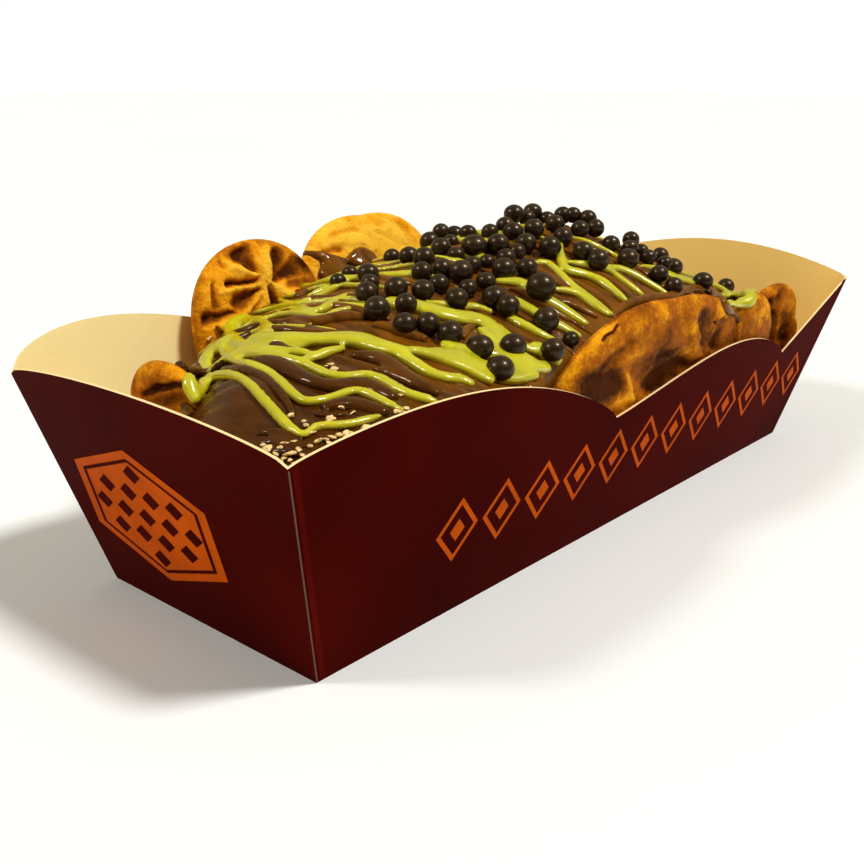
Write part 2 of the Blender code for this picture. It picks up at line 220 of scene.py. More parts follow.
# Nuts: how many, where a rule lays those that the photograph doesn't show, and their form
NUT_SEED = 31
NUT_COUNT = 54
NUTS_X = (-112, -84)
NUTS_INSET = (1, 12)
NUT_CLEARANCE = 0.5
NUT_LIFT = 0.4
NUT_SIZE = (0.45, 1.0)
NUT_DENT = (0.5, 1.3)
NUT_LENGTH = (0.9, 1.9)
NUT_THICKNESS = (0.35, 0.7)
NUT_TILT = (-0.6, 0.6)
NUT_ANGLE = math.radians(40)

# The photograph's camera, in tray millimetres and in pixels of the 864 pixel square
CAMERA_PLACE = Vector((-239.214, -182.445, 119.101))
CAMERA_YAW = 0.847638
CAMERA_PITCH = 0.319825
CAMERA_FOCUS = 1041.877
PHOTO_SIZE = 864
SENSOR = 36.0
CLIP_START = 0.01

# Stage and finishes; places along X are in metres
FLOOR_REACH = 20000.0
LAMP_ANGLE = math.radians(11)
LEFT_LAMP_PLACE = (-0.63, 0.35, 0.70)
RIGHT_LAMP_PLACE = (0.22, -0.48, 0.85)
SKY_DIM_SIDE = (-0.45, -0.89, 0.0)
SKY_BRIGHT = (1.0, 0.83, 0.56)
SKY_DIM = (0.45, 0.32, 0.19)
WHITE = (1.0, 1.0, 1.0)
NOISE_MIDDLE = 0.5
FLOW_TURN = (0.0, 0.0, 0.32)
# Where the inside's painted light at the near end turns into painted shade at the far end
INSIDE_LIGHT_FADE = (-0.1, 0.1)
SHADOW_FADE = (-0.098, -0.07)
SHADOW_TINT = (0.42, 0.35, 0.25)
SPREAD_GLOSS = 0.4
RUNS_GLOSS = 0.45

# Sauce seen in the photograph: name, then half width in pixels and the points of its middle line
SAUCE_SEEN = {
    "left_drop": (6.5, (196, 403), (191, 392), (189, 380), (190, 374)),
    "left_drop_inner": (4.8, (196, 403), (201, 390), (206, 380), (213, 373)),
    "left_bend": (7.0, (226, 345), (215, 349), (208, 354), (204, 362), (208, 371)),
    "left_link": (6.0, (222, 350), (230, 357), (237, 360)),
    "corner_run": (4.4, (204, 384), (212, 376), (225, 374), (240, 377), (250, 384), (258, 393), (268, 404),
                   (277, 414), (286, 424), (296, 432), (305, 436)),
    "corner_tail": (4.2, (305, 436), (312, 428), (322, 425), (340, 425), (355, 423), (368, 419), (382, 415)),
    "third_run": (4.4, (232, 361), (245, 363), (258, 367), (270, 373), (280, 381), (288, 389), (296, 396),
                  (304, 401), (315, 401), (330, 398), (343, 393), (355, 389), (368, 393), (380, 399),
                  (392, 405), (404, 411)),
    "second_run": (4.8, (236, 358), (247, 353), (262, 354), (280, 357), (297, 361), (310, 366), (322, 372),
                   (335, 376), (350, 377), (365, 374), (378, 377), (390, 384), (402, 391), (415, 396),
                   (428, 399), (438, 403)),
    "fine_line": (1.8, (240, 352), (255, 347), (270, 346), (285, 348), (300, 349), (312, 344), (326, 339)),
    "pool_ring": (5.2, (272, 327), (260, 321), (246, 319), (234, 324), (229, 333), (236, 343), (250, 349),
                  (264, 347)),
    "pool_inner": (5.5, (262, 327), (267, 332), (268, 338), (263, 344)),
    "pool_neck": (8.0, (232, 336), (222, 344), (214, 350)),
    "wide_band": (9.4, (252, 337), (268, 339), (290, 338), (315, 338), (340, 337), (360, 338), (380, 345),
                  (398, 350), (412, 352)),
    "band_fork": (4.8, (345, 347), (330, 351), (318, 355), (307, 359), (301, 362)),
    "band_lower": (6.2, (395, 352), (410, 359), (422, 368), (436, 375), (450, 378), (462, 378), (474, 385)),
    "band_upper": (7.0, (405, 349), (420, 351), (436, 355), (452, 362), (468, 367), (482, 376), (494, 382)),
    "fan_top": (3.4, (279, 300), (287, 304), (299, 304), (313, 299), (328, 291), (345, 282), (360, 275)),
    "fan_blob": (3.2, (307, 297), (316, 292), (328, 288), (342, 281)),
    "fan_low": (4.6, (276, 314), (290, 309), (305, 311), (317, 312), (328, 306), (341, 297), (356, 294)),
    "fan_under": (3.0, (301, 328), (317, 321), (332, 313), (347, 308), (364, 308)),
    "front_shelf": (8.4, (385, 300), (402, 303), (422, 307), (440, 312), (460, 317), (478, 318), (492, 325),
                    (500, 336)),
    "shelf_rim": (4.0, (425, 302), (445, 305), (462, 306), (478, 306), (494, 313)),
    "front_pool": (11.0, (432, 352), (450, 353), (470, 362), (492, 370), (515, 374), (536, 370)),
    "front_pool_right": (8.4, (498, 326), (504, 342), (514, 358), (530, 368), (548, 366)),
    "front_pool_high": (5.0, (505, 332), (520, 346), (536, 352)),
    "pool_fill_a": (9.0, (470, 352), (490, 350), (505, 352), (520, 356), (535, 362)),
    "pool_fill_b": (6.5, (480, 328), (491, 338), (500, 348)),
    "pool_fill_c": (6.5, (530, 344), (541, 349), (552, 356), (561, 363)),
    "pool_fill_d": (7.5, (440, 344), (455, 347), (468, 352), (482, 358)),
    "mid_run": (4.6, (508, 296), (521, 304), (534, 312), (548, 321), (560, 326), (572, 333), (582, 337)),
    "mid_low": (4.4, (505, 314), (518, 322), (530, 328), (544, 336), (556, 341)),
    "mid_start": (5.4, (495, 281), (510, 281), (524, 283), (536, 296), (550, 301), (562, 308), (574, 316),
                  (588, 325)),
    "right_one": (3.9, (535, 263), (545, 261), (554, 268), (563, 277), (573, 287), (583, 293), (593, 301),
                  (603, 309), (613, 316)),
    "right_two": (4.0, (553, 289), (566, 290), (579, 294), (590, 302), (600, 310), (610, 316)),
    "right_three": (4.1, (561, 236), (557, 248), (561, 258), (563, 267), (569, 271), (580, 273), (591, 276),
                    (602, 281), (612, 289), (621, 297), (627, 302)),
    "right_four": (3.6, (568, 262), (582, 264), (596, 266), (607, 269), (618, 277), (629, 285), (639, 293),
                   (644, 297)),
    "right_five": (3.9, (604, 267), (618, 268), (631, 273), (645, 281), (657, 288), (668, 295)),
    "right_six": (3.0, (571, 237), (585, 241), (598, 247), (612, 254), (625, 262), (640, 267)),
    "right_seven": (3.2, (640, 266), (656, 268), (670, 275), (684, 279), (698, 283), (706, 287)),
    "right_high": (2.6, (607, 232), (620, 237), (634, 246), (650, 256)),
    "end_one": (3.2, (682, 265), (695, 270), (710, 272), (725, 275), (738, 280), (746, 288)),
    "end_two": (1.8, (688, 267), (700, 275), (712, 283)),
    "end_three": (3.4, (668, 276), (684, 281), (700, 286), (712, 292)),
    "end_blob": (4.8, (722, 296), (734, 291), (745, 290), (752, 296), (749, 303), (740, 301), (728, 303)),
    "end_blob_top": (3.6, (757, 287), (746, 285), (736, 290)),
}

# Chocolate runs seen in the photograph, in the same form
CHOCOLATE_SEEN = {
    "under_band": (7.0, (352, 355), (370, 356), (385, 361), (397, 369), (409, 379), (422, 387), (440, 394)),
    "under_band_low": (4.0, (372, 369), (385, 371), (398, 378), (410, 384)),
    "between_runs": (8.0, (254, 361), (270, 362), (288, 369), (303, 378), (320, 385), (340, 387), (360, 384),
                     (378, 390), (396, 399)),
    "fold_line": (4.4, (222, 369), (240, 368), (256, 373), (268, 379), (278, 390), (287, 401), (293, 414)),
    "low_roll": (7.0, (322, 408), (340, 404), (356, 404), (372, 409), (388, 413)),
    "low_roll_inner": (3.0, (312, 413), (328, 417), (344, 414), (360, 418)),
    "corner_roll": (4.2, (256, 434), (270, 431), (288, 433), (304, 438)),
    "corner_roll_low": (4.0, (258, 444), (275, 441), (293, 443), (310, 447)),
    "corner_roll_last": (4.4, (268, 452), (285, 450), (302, 455)),
    "upper_run": (6.0, (280, 325), (295, 320), (312, 323), (330, 319), (350, 316), (366, 318)),
    "upper_run_high": (5.0, (318, 309), (332, 301), (346, 303)),
    "ball_bed": (6.0, (372, 325), (390, 327), (408, 334), (428, 340)),
    "pool_gap": (5.0, (462, 338), (466, 328), (474, 325)),
    "right_a": (3.4, (538, 270), (551, 275), (562, 284), (571, 289)),
    "right_b": (4.2, (566, 279), (580, 285), (594, 294), (606, 303), (613, 310)),
    "right_c": (3.4, (590, 272), (604, 276), (616, 284), (627, 294), (634, 302)),
    "right_d": (3.4, (626, 281), (640, 288), (652, 294), (662, 297)),
    "right_e": (3.6, (556, 300), (572, 305), (585, 311), (598, 318)),
    "right_f": (3.8, (509, 288), (524, 292), (540, 302), (556, 313), (570, 322)),
    "right_g": (3.0, (604, 252), (620, 258), (638, 268), (652, 277)),
    "right_h": (3.0, (682, 272), (700, 279), (716, 285)),
    "top_a": (3.0, (478, 224), (494, 222), (506, 220)),
    "rim": (3.9, (612, 316), (621, 308), (632, 302), (646, 299), (660, 298), (673, 296), (683, 291),
            (693, 289), (705, 289), (715, 293), (721, 300), (725, 307), (730, 312), (736, 314)),
    "end_drop": (5.0, (738, 317), (737, 322)),
    "junction_low": (10.0, (322, 280), (330, 273), (338, 268), (344, 264)),
    "junction_high": (8.0, (350, 263), (358, 258), (366, 257), (374, 261)),
    "junction_smear": (4.0, (303, 253), (318, 256), (334, 259), (350, 262)),
    "under_fan": (6.0, (296, 298), (307, 291), (318, 286)),
    "left_blob": (6.5, (217, 331), (221, 328)),
    "pool_hole": (4.0, (240, 329), (248, 331)),
    "left_bead": (5.5, (213, 363), (219, 360)),
    "left_cap": (7.2, (180, 364), (185, 363), (190, 366), (199, 371)),
    "left_cap_low": (6.0, (182, 404), (187, 409), (191, 416)),
}

# Chopped nuts seen in the photograph, in pixels
NUTS_SEEN = ((268, 449), (276, 454), (284, 458), (292, 453), (299, 449), (263, 445), (281, 447), (290, 460),
             (272, 459), (303, 455), (326, 366), (331, 364), (334, 369), (306, 425), (304, 421), (332, 437),
             (339, 435), (326, 439), (351, 433), (346, 436), (277, 387), (281, 392), (210, 338), (291, 415),
             (286, 443), (295, 441), (310, 446), (318, 441), (295, 463), (280, 462))

# Hollows, ridges and browned patches that the photograph shows on the waffle's faces. Each runs between two
# pixels: x, y and radius of both ends, then its depth in millimetres and its browning; positive browning is
# part real browning, part painted shade in the hollows, and negative browning is painted light on ridges.
MARKS_SEEN = {
    "left": (
        (243, 255, 9.0, 258, 272, 1.6, 2.4, 0.65), (234, 254, 4.0, 250, 252, 3.5, 0.8, 0.35),
        (303, 263, 12.0, 275, 280, 2.4, 2.0, 0.6), (278, 254, 6.0, 278, 276, 3.0, 2.0, 0.6),
        (229, 284, 4.5, 259, 280, 1.6, 2.2, 0.65), (240, 302, 8.5, 262, 288, 1.4, 2.2, 0.6),
        (213, 284, 2.0, 217, 307, 4.0, 1.3, 0.4), (208, 319, 6.5, 236, 313, 2.0, 1.9, 0.65),
        (278, 318, 6.5, 270, 287, 1.2, 2.2, 0.7), (254, 318, 6.0, 262, 297, 1.0, 1.2, 0.3),
        (219, 262, 2.0, 225, 268, 3.0, 0.8, 0.3), (291, 284, 5.0, 308, 282, 7.0, 0.8, 0.4),
        (266, 249, 4.5, 267, 278, 3.0, -0.9, -0.2), (271, 284, 3.0, 294, 298, 5.0, -0.9, -0.25),
        (224, 264, 4.0, 256, 276, 2.6, -0.8, -0.2), (222, 293, 3.0, 256, 285, 2.0, -0.8, -0.2),
        (245, 316, 3.5, 263, 290, 2.0, -0.6, -0.2)),
    "second": (
        (322, 254, 3.0, 341, 248, 3.4, 0.7, 0.45), (370, 219, 3.5, 382, 225, 3.5, 0.3, 0.22),
        (365, 250, 5.0, 379, 258, 5.0, 0.5, 0.22), (331, 236, 3.0, 356, 230, 2.4, 0.3, 0.2),
        (376, 232, 2.4, 404, 246, 2.4, 0.25, 0.16), (369, 236, 2.4, 371, 248, 2.6, 0.25, 0.14),
        (396, 222, 5.0, 413, 232, 4.0, 0.4, 0.16), (345, 240, 5.0, 362, 240, 5.0, -0.4, -0.12)),
    "front": (
        (604, 340, 1.7, 618, 326, 1.4, 1.6, 1.0), (592, 384, 6.0, 634, 344, 5.0, 0.9, 0.22),
        (592, 390, 15.0, 616, 383, 12.0, 1.1, 0.6), (640, 372, 12.0, 668, 356, 10.0, 0.7, 0.2),
        (626, 376, 4.0, 636, 400, 7.0, -0.6, -0.3), (562, 380, 6.0, 618, 318, 6.0, -0.8, -0.18),
        (682, 362, 7.0, 652, 386, 8.0, 1.5, 0.55), (690, 308, 5.0, 695, 352, 6.0, -1.2, -0.25),
        (707, 316, 7.0, 705, 342, 6.0, 1.2, 0.3), (700, 324, 3.0, 701, 350, 3.0, 0.5, 0.3),
        (716, 323, 1.5, 718, 325, 1.5, 1.0, 0.7), (724, 322, 4.5, 714, 346, 4.5, 1.0, 0.3),
        (648, 328, 10.0, 674, 342, 8.0, -0.7, -0.15), (662, 358, 3.0, 676, 350, 3.0, 0.5, 0.15)),
    "front_small": (
        (724, 320, 5.0, 714, 346, 4.5, 0.8, 0.3), (738, 322, 3.0, 735, 340, 3.0, -0.8, -0.2)),
    "tail": (
        (745, 312, 3.5, 772, 302, 3.5, 0.8, 0.32), (742, 330, 6.0, 765, 325, 6.0, -0.5, -0.15),
        (774, 312, 2.4, 770, 340, 4.5, 0.9, 0.35), (778, 300, 3.0, 782, 290, 3.0, 0.4, 0.2),
        (786, 318, 6.0, 783, 338, 6.0, 0.6, 0.25)),
    "corner": (
        (141, 396, 2.6, 154, 389, 3.4, 1.0, 0.7), (154, 389, 3.4, 182, 385, 3.2, 1.1, 0.75),
        (150, 402, 6.0, 182, 397, 6.0, 0.2, 0.28)),
}

# Balls seen in the photograph: middle and radius, in pixels
BALLS_SEEN = (
    (377, 309, 13.5), (406, 304, 11.5), (405, 324, 12), (428, 324, 12.5), (450, 333, 13.5), (480, 347, 14),
    (513, 346, 13.5), (500, 369, 14.5), (553, 350, 13), (571, 339, 9), (546, 320, 14), (508, 306, 12.5),
    (541, 287, 15), (494, 297, 12), (457, 299, 12), (468, 288, 10), (423, 290, 12), (396, 288, 12),
    (439, 284, 10.5), (367, 293, 12), (370, 283, 10), (368, 273, 11), (350, 273, 8), (338, 281, 7),
    (392, 257, 9), (409, 256, 10.5), (424, 258, 11.5), (422, 272, 11), (442, 269, 10.5), (461, 272, 12.5),
    (486, 281, 10), (472, 265, 9.5), (487, 262, 8.5), (504, 269, 12.5), (527, 268, 10.5), (506, 258, 10),
    (517, 252, 9), (498, 244, 11.5), (474, 246, 13), (451, 242, 8.5), (456, 255, 9), (441, 248, 11),
    (430, 242, 11), (441, 232, 9), (453, 231, 9.5), (468, 233, 9), (490, 232, 9), (505, 226, 9.5),
    (513, 232, 10), (526, 243, 11), (550, 247, 11.5), (534, 229, 11), (514, 214, 10.5), (527, 218, 9),
    (532, 209, 9.5), (547, 213, 9), (555, 224, 10), (563, 214, 9.5), (563, 237, 10), (573, 215, 8.5),
    (580, 229, 9.5), (588, 218, 9), (595, 228, 9.5), (583, 251, 10.5), (598, 260, 11.5), (611, 244, 9.5),
    (632, 237, 9), (630, 248, 9), (628, 259, 11.5), (643, 246, 8), (648, 257, 8.5), (661, 254, 9.5),
    (665, 263, 8), (673, 267, 10), (659, 274, 10), (674, 286, 10), (703, 281, 10), (726, 286, 9),
)


def smooth_table(stations, values, x):
    """Value at x of a smooth curve through the stations."""
    if x <= stations[0]:
        return values[0]
    for i in range(len(stations) - 1):
        if x <= stations[i + 1]:
            t = (x - stations[i]) / (stations[i + 1] - stations[i])
            before = values[max(i - 1, 0)]
            after = values[min(i + 2, len(values) - 1)]
            a, b = values[i], values[i + 1]
            slope_a = (b - before) * 0.5
            slope_b = (after - a) * 0.5
            return ((2 * t ** 3 - 3 * t ** 2 + 1) * a + (t ** 3 - 2 * t ** 2 + t) * slope_a
                    + (3 * t ** 2 - 2 * t ** 3) * b + (t ** 3 - t ** 2) * slope_b)
    return values[-1]


def smooth_step(low, high, x):
    """0 below low, 1 above high, smooth between."""
    t = min(max((x - low) / (high - low), 0.0), 1.0)
    return t * t * (3 - 2 * t)


def rough(x, y, z=0.0):
    """Smooth noise between about -1 and 1."""
    return noise.noise(Vector((x, y, z)))


def relief(layers, x, y, seed=0.0):
    """Height of rough layers added up."""
    return sum(height * rough(x / along, y / across, own + seed) for height, along, across, own in layers)


def wave(size, u, v, seed):
    """Rough change at a place of a face; size is its height and its width."""
    height, width = size
    return height * rough(u / width, v / width, seed)


def placed(name, bm, materials):
    """Moves a bmesh in tray millimetres to its place and makes it an object, smoothly shaded."""
    move = Matrix.Translation(TRAY_CENTRE * MM) @ Matrix.Scale(MM, 4)
    bmesh.ops.transform(bm, matrix=move, verts=bm.verts)
    mesh = bpy.data.meshes.new(name)
    bm.to_mesh(mesh)
    bm.free()
    for material in materials:
        mesh.materials.append(material)
    mesh.shade_smooth()
    obj = bpy.data.objects.new(name, mesh)
    bpy.context.scene.collection.objects.link(obj)
    return obj


def merged(forms):
    """Several bmeshes as one; each is freed when it has been taken over."""
    whole = bmesh.new()
    for form in forms:
        mesh = bpy.data.meshes.new("part_of_piece")
        form.to_mesh(mesh)
        form.free()
        whole.from_mesh(mesh)
        bpy.data.meshes.remove(mesh)
    return whole


def evaluated_mesh(obj):
    """A new mesh of what an object's modifiers or curve settings make."""
    depsgraph = bpy.context.evaluated_depsgraph_get()
    return bpy.data.meshes.new_from_object(obj.evaluated_get(depsgraph))


def apply_modifiers(obj):
    """Replaces the object's mesh by what its modifiers make of it."""
    mesh = evaluated_mesh(obj)
    obj.modifiers.clear()
    obj.data = mesh


def thicken(obj, thickness, offset, inner=0, edge=0):
    """Gives a sheet its thickness, with sharp folds. Its inner face and edge may use later materials."""
    sheet = obj.modifiers.new("card", "SOLIDIFY")
    sheet.thickness = thickness
    sheet.offset = offset
    sheet.use_even_offset = True
    sheet.material_offset = inner
    sheet.material_offset_rim = edge
    apply_modifiers(obj)
    obj.data.set_sharp_from_angle(angle=FOLD_ANGLE)


def cut_tall_edges(bm, cuts):
    """Cuts the edges that run up a wall, and the faces between them."""
    tall = [edge for edge in bm.edges if abs(edge.verts[0].co.z - edge.verts[1].co.z) > TALL_EDGE]
    bmesh.ops.subdivide_edges(bm, edges=tall, cuts=cuts, use_grid_fill=True)


# Materials

def new_material(name, roughness):
    """A Principled material and the parts that the recipes below wire up."""
    material = bpy.data.materials.new(name)
    material.use_nodes = True
    tree = material.node_tree
    shader = tree.nodes["Principled BSDF"]
    shader.inputs["Roughness"].default_value = roughness
    return material, tree, shader


def feed(tree, value, socket):
    """Links a node's output to a socket, or sets the socket to a value."""
    if isinstance(value, bpy.types.NodeSocket):
        tree.links.new(value, socket)
    elif socket.type == "RGBA":
        socket.default_value = (*value[:3], 1.0)
    else:
        socket.default_value = value


def set_inputs(tree, node, **values):
    """Links or sets inputs of a node, whose names are written with underscores here."""
    for name, value in values.items():
        feed(tree, value, node.inputs[name.replace("_", " ")])


def add_node(tree, kind, **values):
    """A new node with these inputs."""
    node = tree.nodes.new(kind)
    set_inputs(tree, node, **values)
    return node


def add_coords(tree, stretch=(1.0, 1.0, 1.0), turn=(0.0, 0.0, 0.0)):
    """Object coordinates, stretched and then turned."""
    source = tree.nodes.new("ShaderNodeTexCoord").outputs["Object"]
    return add_node(tree, "ShaderNodeMapping", Vector=source, Rotation=turn, Scale=stretch).outputs["Vector"]


def add_noise(tree, coords, size, detail=3.0, roughness=0.55, warp=0.0):
    """Noise whose features are about size metres wide."""
    node = add_node(tree, "ShaderNodeTexNoise", Vector=coords, Scale=1.0 / size, Detail=detail,
                    Roughness=roughness, Distortion=warp)
    return node.outputs["Fac"]


def add_cells(tree, coords, size):
    """Distance to the middles of cells about size metres wide."""
    return add_node(tree, "ShaderNodeTexVoronoi", Vector=coords, Scale=1.0 / size).outputs["Distance"]


def add_attribute(tree, name):
    """A value stored on the mesh."""
    node = tree.nodes.new("ShaderNodeAttribute")
    node.attribute_name = name
    return node.outputs["Fac"]


def add_ramp(tree, factor, *stops):
    """Colours over a factor; each stop is a place and a colour."""
    node = tree.nodes.new("ShaderNodeValToRGB")
    elements = node.color_ramp.elements
    while len(elements) < len(stops):
        elements.new(0.5)
    for element, (place, colour) in zip(elements, stops):
        element.position = place
        element.color = (*colour[:3], 1.0)
    tree.links.new(factor, node.inputs["Fac"])
    return node.outputs["Color"]


def shade(colour, lift):
    """A colour's values times lift, for a darker or lighter tone of it."""
    return tuple(min(value * lift, 1.0) for value in colour[:3])


def add_tones(tree, factor, colour, *stops):
    """Tones of one colour over a factor; each stop is a place and the tone's lift."""
    return add_ramp(tree, factor, *((place, shade(colour, lift)) for place, lift in stops))


def add_sum(tree, *parts, start=0.0):
    """Start and the parts added up; each part is a value and how much of it counts."""
    total = start
    for value, share in parts:
        node = tree.nodes.new("ShaderNodeMath")
        node.operation = "MULTIPLY_ADD"
        for term, socket in zip((value, share, total), node.inputs):
            feed(tree, term, socket)
        total = node.outputs["Value"]
    return total


def add_along(tree, start, end):
    """0 where X is start metres and 1 where it is end metres."""
    source = tree.nodes.new("ShaderNodeTexCoord").outputs["Object"]
    x = add_node(tree, "ShaderNodeSeparateXYZ", Vector=source).outputs["X"]
    return add_node(tree, "ShaderNodeMapRange", Value=x, From_Min=start, From_Max=end).outputs["Result"]


def add_mix(tree, factor, a, b, blend="MIX"):
    """Colour a where factor is 0 and b where it is 1, or the two in another blend."""
    node = tree.nodes.new("ShaderNodeMix")
    node.data_type = "RGBA"
    node.blend_type = blend
    colours = [socket for socket in node.inputs if socket.type == "RGBA"]
    for value, socket in zip((factor, a, b), (node.inputs["Factor"], *colours)):
        feed(tree, value, socket)
    return next(socket for socket in node.outputs if socket.type == "RGBA")


def add_product(tree, a, b):
    """Product of two colours."""
    return add_mix(tree, 1.0, a, b, "MULTIPLY")


def add_bump(tree, shader, *layers):
    """Bumps one over another; each layer is a height, a strength and a depth in metres."""
    normal = None
    for height, strength, depth in layers:
        node = add_node(tree, "ShaderNodeBump", Height=height, Strength=strength, Distance=depth)
        if normal is not None:
            tree.links.new(normal, node.inputs["Normal"])
        normal = node.outputs["Normal"]
    tree.links.new(normal, shader.inputs["Normal"])


def print_material(colour, name="card_print"):
    """Dark printed card, faintly clouded and specked."""
    material, tree, shader = new_material(name, 0.42)
    coords = add_coords(tree)
    tone = add_tones(tree, add_noise(tree, coords, 0.06, 2.0), colour, (0.3, 0.72), (0.7, 1.25))
    speck = add_tones(tree, add_noise(tree, coords, 0.0012, 4.0, 0.7), WHITE, (0.35, 0.86), (0.7, 1.0))
    board = add_noise(tree, coords, 0.0007, 3.0, 0.6)
    bend = add_noise(tree, coords, 0.045, 1.0)
    add_bump(tree, shader, (bend, 0.25, 0.0008), (board, 0.12, 0.00005))
    set_inputs(tree, shader, Base_Color=add_product(tree, tone, speck), Specular_IOR_Level=0.004,
               Specular_Tint=(1.0, 0.6, 0.6))
    return material


def inside_material(colour, far_shade_colour):
    """Uncoated cream card with a faint fibre, with painted light: paler at the near end, darker as painted
    shade at the far end.
    """
    material, tree, shader = new_material("card_inside", 0.62)
    coords = add_coords(tree)
    fibre = add_noise(tree, coords, 0.0011, 5.0, 0.7)
    both = add_sum(tree, (fibre, 0.5), (add_noise(tree, coords, 0.035, 2.0), 0.5))
    tone = add_tones(tree, both, WHITE, (0.36, 0.93), (0.6, 1.0))
    # Painted light along X: paler at the near end, darker as painted shade at the far end
    along = add_ramp(tree, add_along(tree, *INSIDE_LIGHT_FADE), (0.0, colour), (1.0, far_shade_colour))
    add_bump(tree, shader, (fibre, 0.18, 0.00006))
    set_inputs(tree, shader, Base_Color=add_product(tree, tone, along), Specular_IOR_Level=0.2)
    return material


def cut_edge_material(colour):
    """Cut edge of the card, with its fibre."""
    material, tree, shader = new_material("card_edge", 0.75)
    fibre = add_noise(tree, add_coords(tree), 0.0004, 4.0, 0.75)
    add_bump(tree, shader, (fibre, 0.3, 0.00008))
    set_inputs(tree, shader, Base_Color=add_tones(tree, fibre, colour, (0.3, 0.82), (0.65, 1.0)))
    return material


def ink_material(colour):
    """Orange ink on the print, a little thin in places."""
    material, tree, shader = new_material("print_orange", 0.4)
    coords = add_coords(tree)
    grain = add_noise(tree, coords, 0.0006, 3.0, 0.7)
    both = add_sum(tree, (add_noise(tree, coords, 0.012, 3.0), 0.6), (grain, 0.4))
    add_bump(tree, shader, (grain, 0.12, 0.00005))
    set_inputs(tree, shader, Base_Color=add_tones(tree, both, colour, (0.35, 0.78), (0.62, 1.08)),
               Specular_IOR_Level=0.01)
    return material


def waffle_material(pale, golden, browned, dark):
    """Baked batter, darker where it is browned and where shade is painted in, with pores and fine wrinkles.
    """
    material, tree, shader = new_material("waffle", 0.55)
    coords = add_coords(tree)
    cloud = add_noise(tree, coords, 0.016, 3.0, 0.6, warp=0.6)
    blotch = add_noise(tree, coords, 0.0048, 4.0, 0.62, warp=0.4)
    crumb = add_noise(tree, coords, 0.0009, 4.0, 0.7)
    streak = add_noise(tree, add_coords(tree, stretch=(1.0, 1.0, 0.22)), 0.0016, 3.0, 0.6)
    # The attribute holds real browning, painted shade in pockets and hollows, and painted light on ridges
    baked = add_sum(tree, (add_attribute(tree, "browning_and_shade"), 1.0), (cloud, 0.9), (blotch, 0.7),
                    (crumb, 0.45), start=-NOISE_MIDDLE * (0.9 + 0.7 + 0.45))
    pores = add_tones(tree, add_cells(tree, coords, 0.0017), WHITE, (0.08, 0.0), (0.3, 1.0))
    add_bump(tree, shader, (blotch, 0.8, 0.0012), (streak, 0.5, 0.0005), (pores, 0.4, 0.0003),
             (crumb, 0.7, 0.0004))
    tone = add_ramp(tree, baked, (0.0, pale), (0.3, golden), (0.55, browned), (0.95, dark))
    set_inputs(tree, shader, Base_Color=tone, Specular_IOR_Level=0.04, Specular_Tint=(1.0, 0.75, 0.4),
               Subsurface_Weight=0.1, Subsurface_Scale=0.002, Subsurface_Radius=(1.0, 0.45, 0.15))
    return material


def chocolate_material(name, colour, dark, gloss):
    """Soft glossy chocolate with lighter streaks across the tray, in shadow at the near end."""
    material, tree, shader = new_material(name, 0.34)
    flow = add_coords(tree, stretch=(1.0, 0.16, 0.4), turn=FLOW_TURN)
    streak = add_noise(tree, flow, 0.0022, 4.0, 0.6, warp=0.3)
    both = add_sum(tree, (streak, 0.55), (add_noise(tree, add_coords(tree), 0.014, 3.0, 0.55), 0.45))
    tone = add_ramp(tree, both, (0.34, dark), (0.52, colour), (0.7, shade(colour, 1.3)))
    shadow = add_ramp(tree, add_along(tree, *SHADOW_FADE), (0.0, SHADOW_TINT), (1.0, WHITE))
    add_bump(tree, shader, (streak, 0.35, 0.0006), (add_noise(tree, flow, 0.0009, 3.0, 0.6), 0.15, 0.00015))
    set_inputs(tree, shader, Base_Color=add_product(tree, tone, shadow), Coat_Weight=gloss,
               Coat_Roughness=0.1, Specular_IOR_Level=0.05, Specular_Tint=(1.0, 0.7, 0.4),
               Subsurface_Weight=0.05, Subsurface_Scale=0.002, Subsurface_Radius=(1.0, 0.5, 0.3))
    return material


def sauce_material(colour, shaded):
    """Thick glossy yellow-green sauce, duller and warmer low on each run: partly thin sauce over chocolate,
    partly painted contact shade.
    """
    material, tree, shader = new_material("sauce", 0.3)
    cloud = add_noise(tree, add_coords(tree), 0.011, 3.0, 0.5)
    flow = add_noise(tree, add_coords(tree, stretch=(1.0, 0.2, 0.5), turn=FLOW_TURN), 0.0025, 3.0)
    both = add_sum(tree, (cloud, 0.55), (flow, 0.45))
    thick = add_tones(tree, both, colour, (0.36, 0.86), (0.62, 1.1))
    add_bump(tree, shader, (flow, 0.2, 0.0004))
    set_inputs(tree, shader, Base_Color=add_mix(tree, add_attribute(tree, "thin"), thick, shaded),
               Coat_Weight=0.5, Coat_Roughness=0.06, Subsurface_Weight=0.25, Subsurface_Scale=0.0025,
               Subsurface_Radius=(1.0, 0.9, 0.2))
    return material


def ball_material(colour):
    """Dark polished chocolate with a dusty bloom."""
    material, tree, shader = new_material("ball_chocolate", 0.38)
    coords = add_coords(tree)
    bloom = add_noise(tree, coords, 0.0035, 4.0, 0.65)
    tone = add_tones(tree, bloom, colour, (0.32, 0.55), (0.55, 1.0), (0.75, 1.8))
    add_bump(tree, shader, (bloom, 0.25, 0.0004), (add_noise(tree, coords, 0.0005, 3.0, 0.7), 0.1, 0.00004))
    set_inputs(tree, shader, Base_Color=tone, Coat_Weight=0.22, Coat_Roughness=0.14,
               Specular_IOR_Level=0.3, Specular_Tint=(1.0, 0.75, 0.5))
    return material


def nut_material(colour):
    """Chopped nut and wafer crumbs."""
    material, tree, shader = new_material("nuts", 0.6)
    grain = add_noise(tree, add_coords(tree), 0.0012, 4.0, 0.65)
    add_bump(tree, shader, (grain, 0.4, 0.0003))
    set_inputs(tree, shader, Base_Color=add_tones(tree, grain, colour, (0.35, 0.5), (0.5, 1.0), (0.7, 1.2)))
    return material


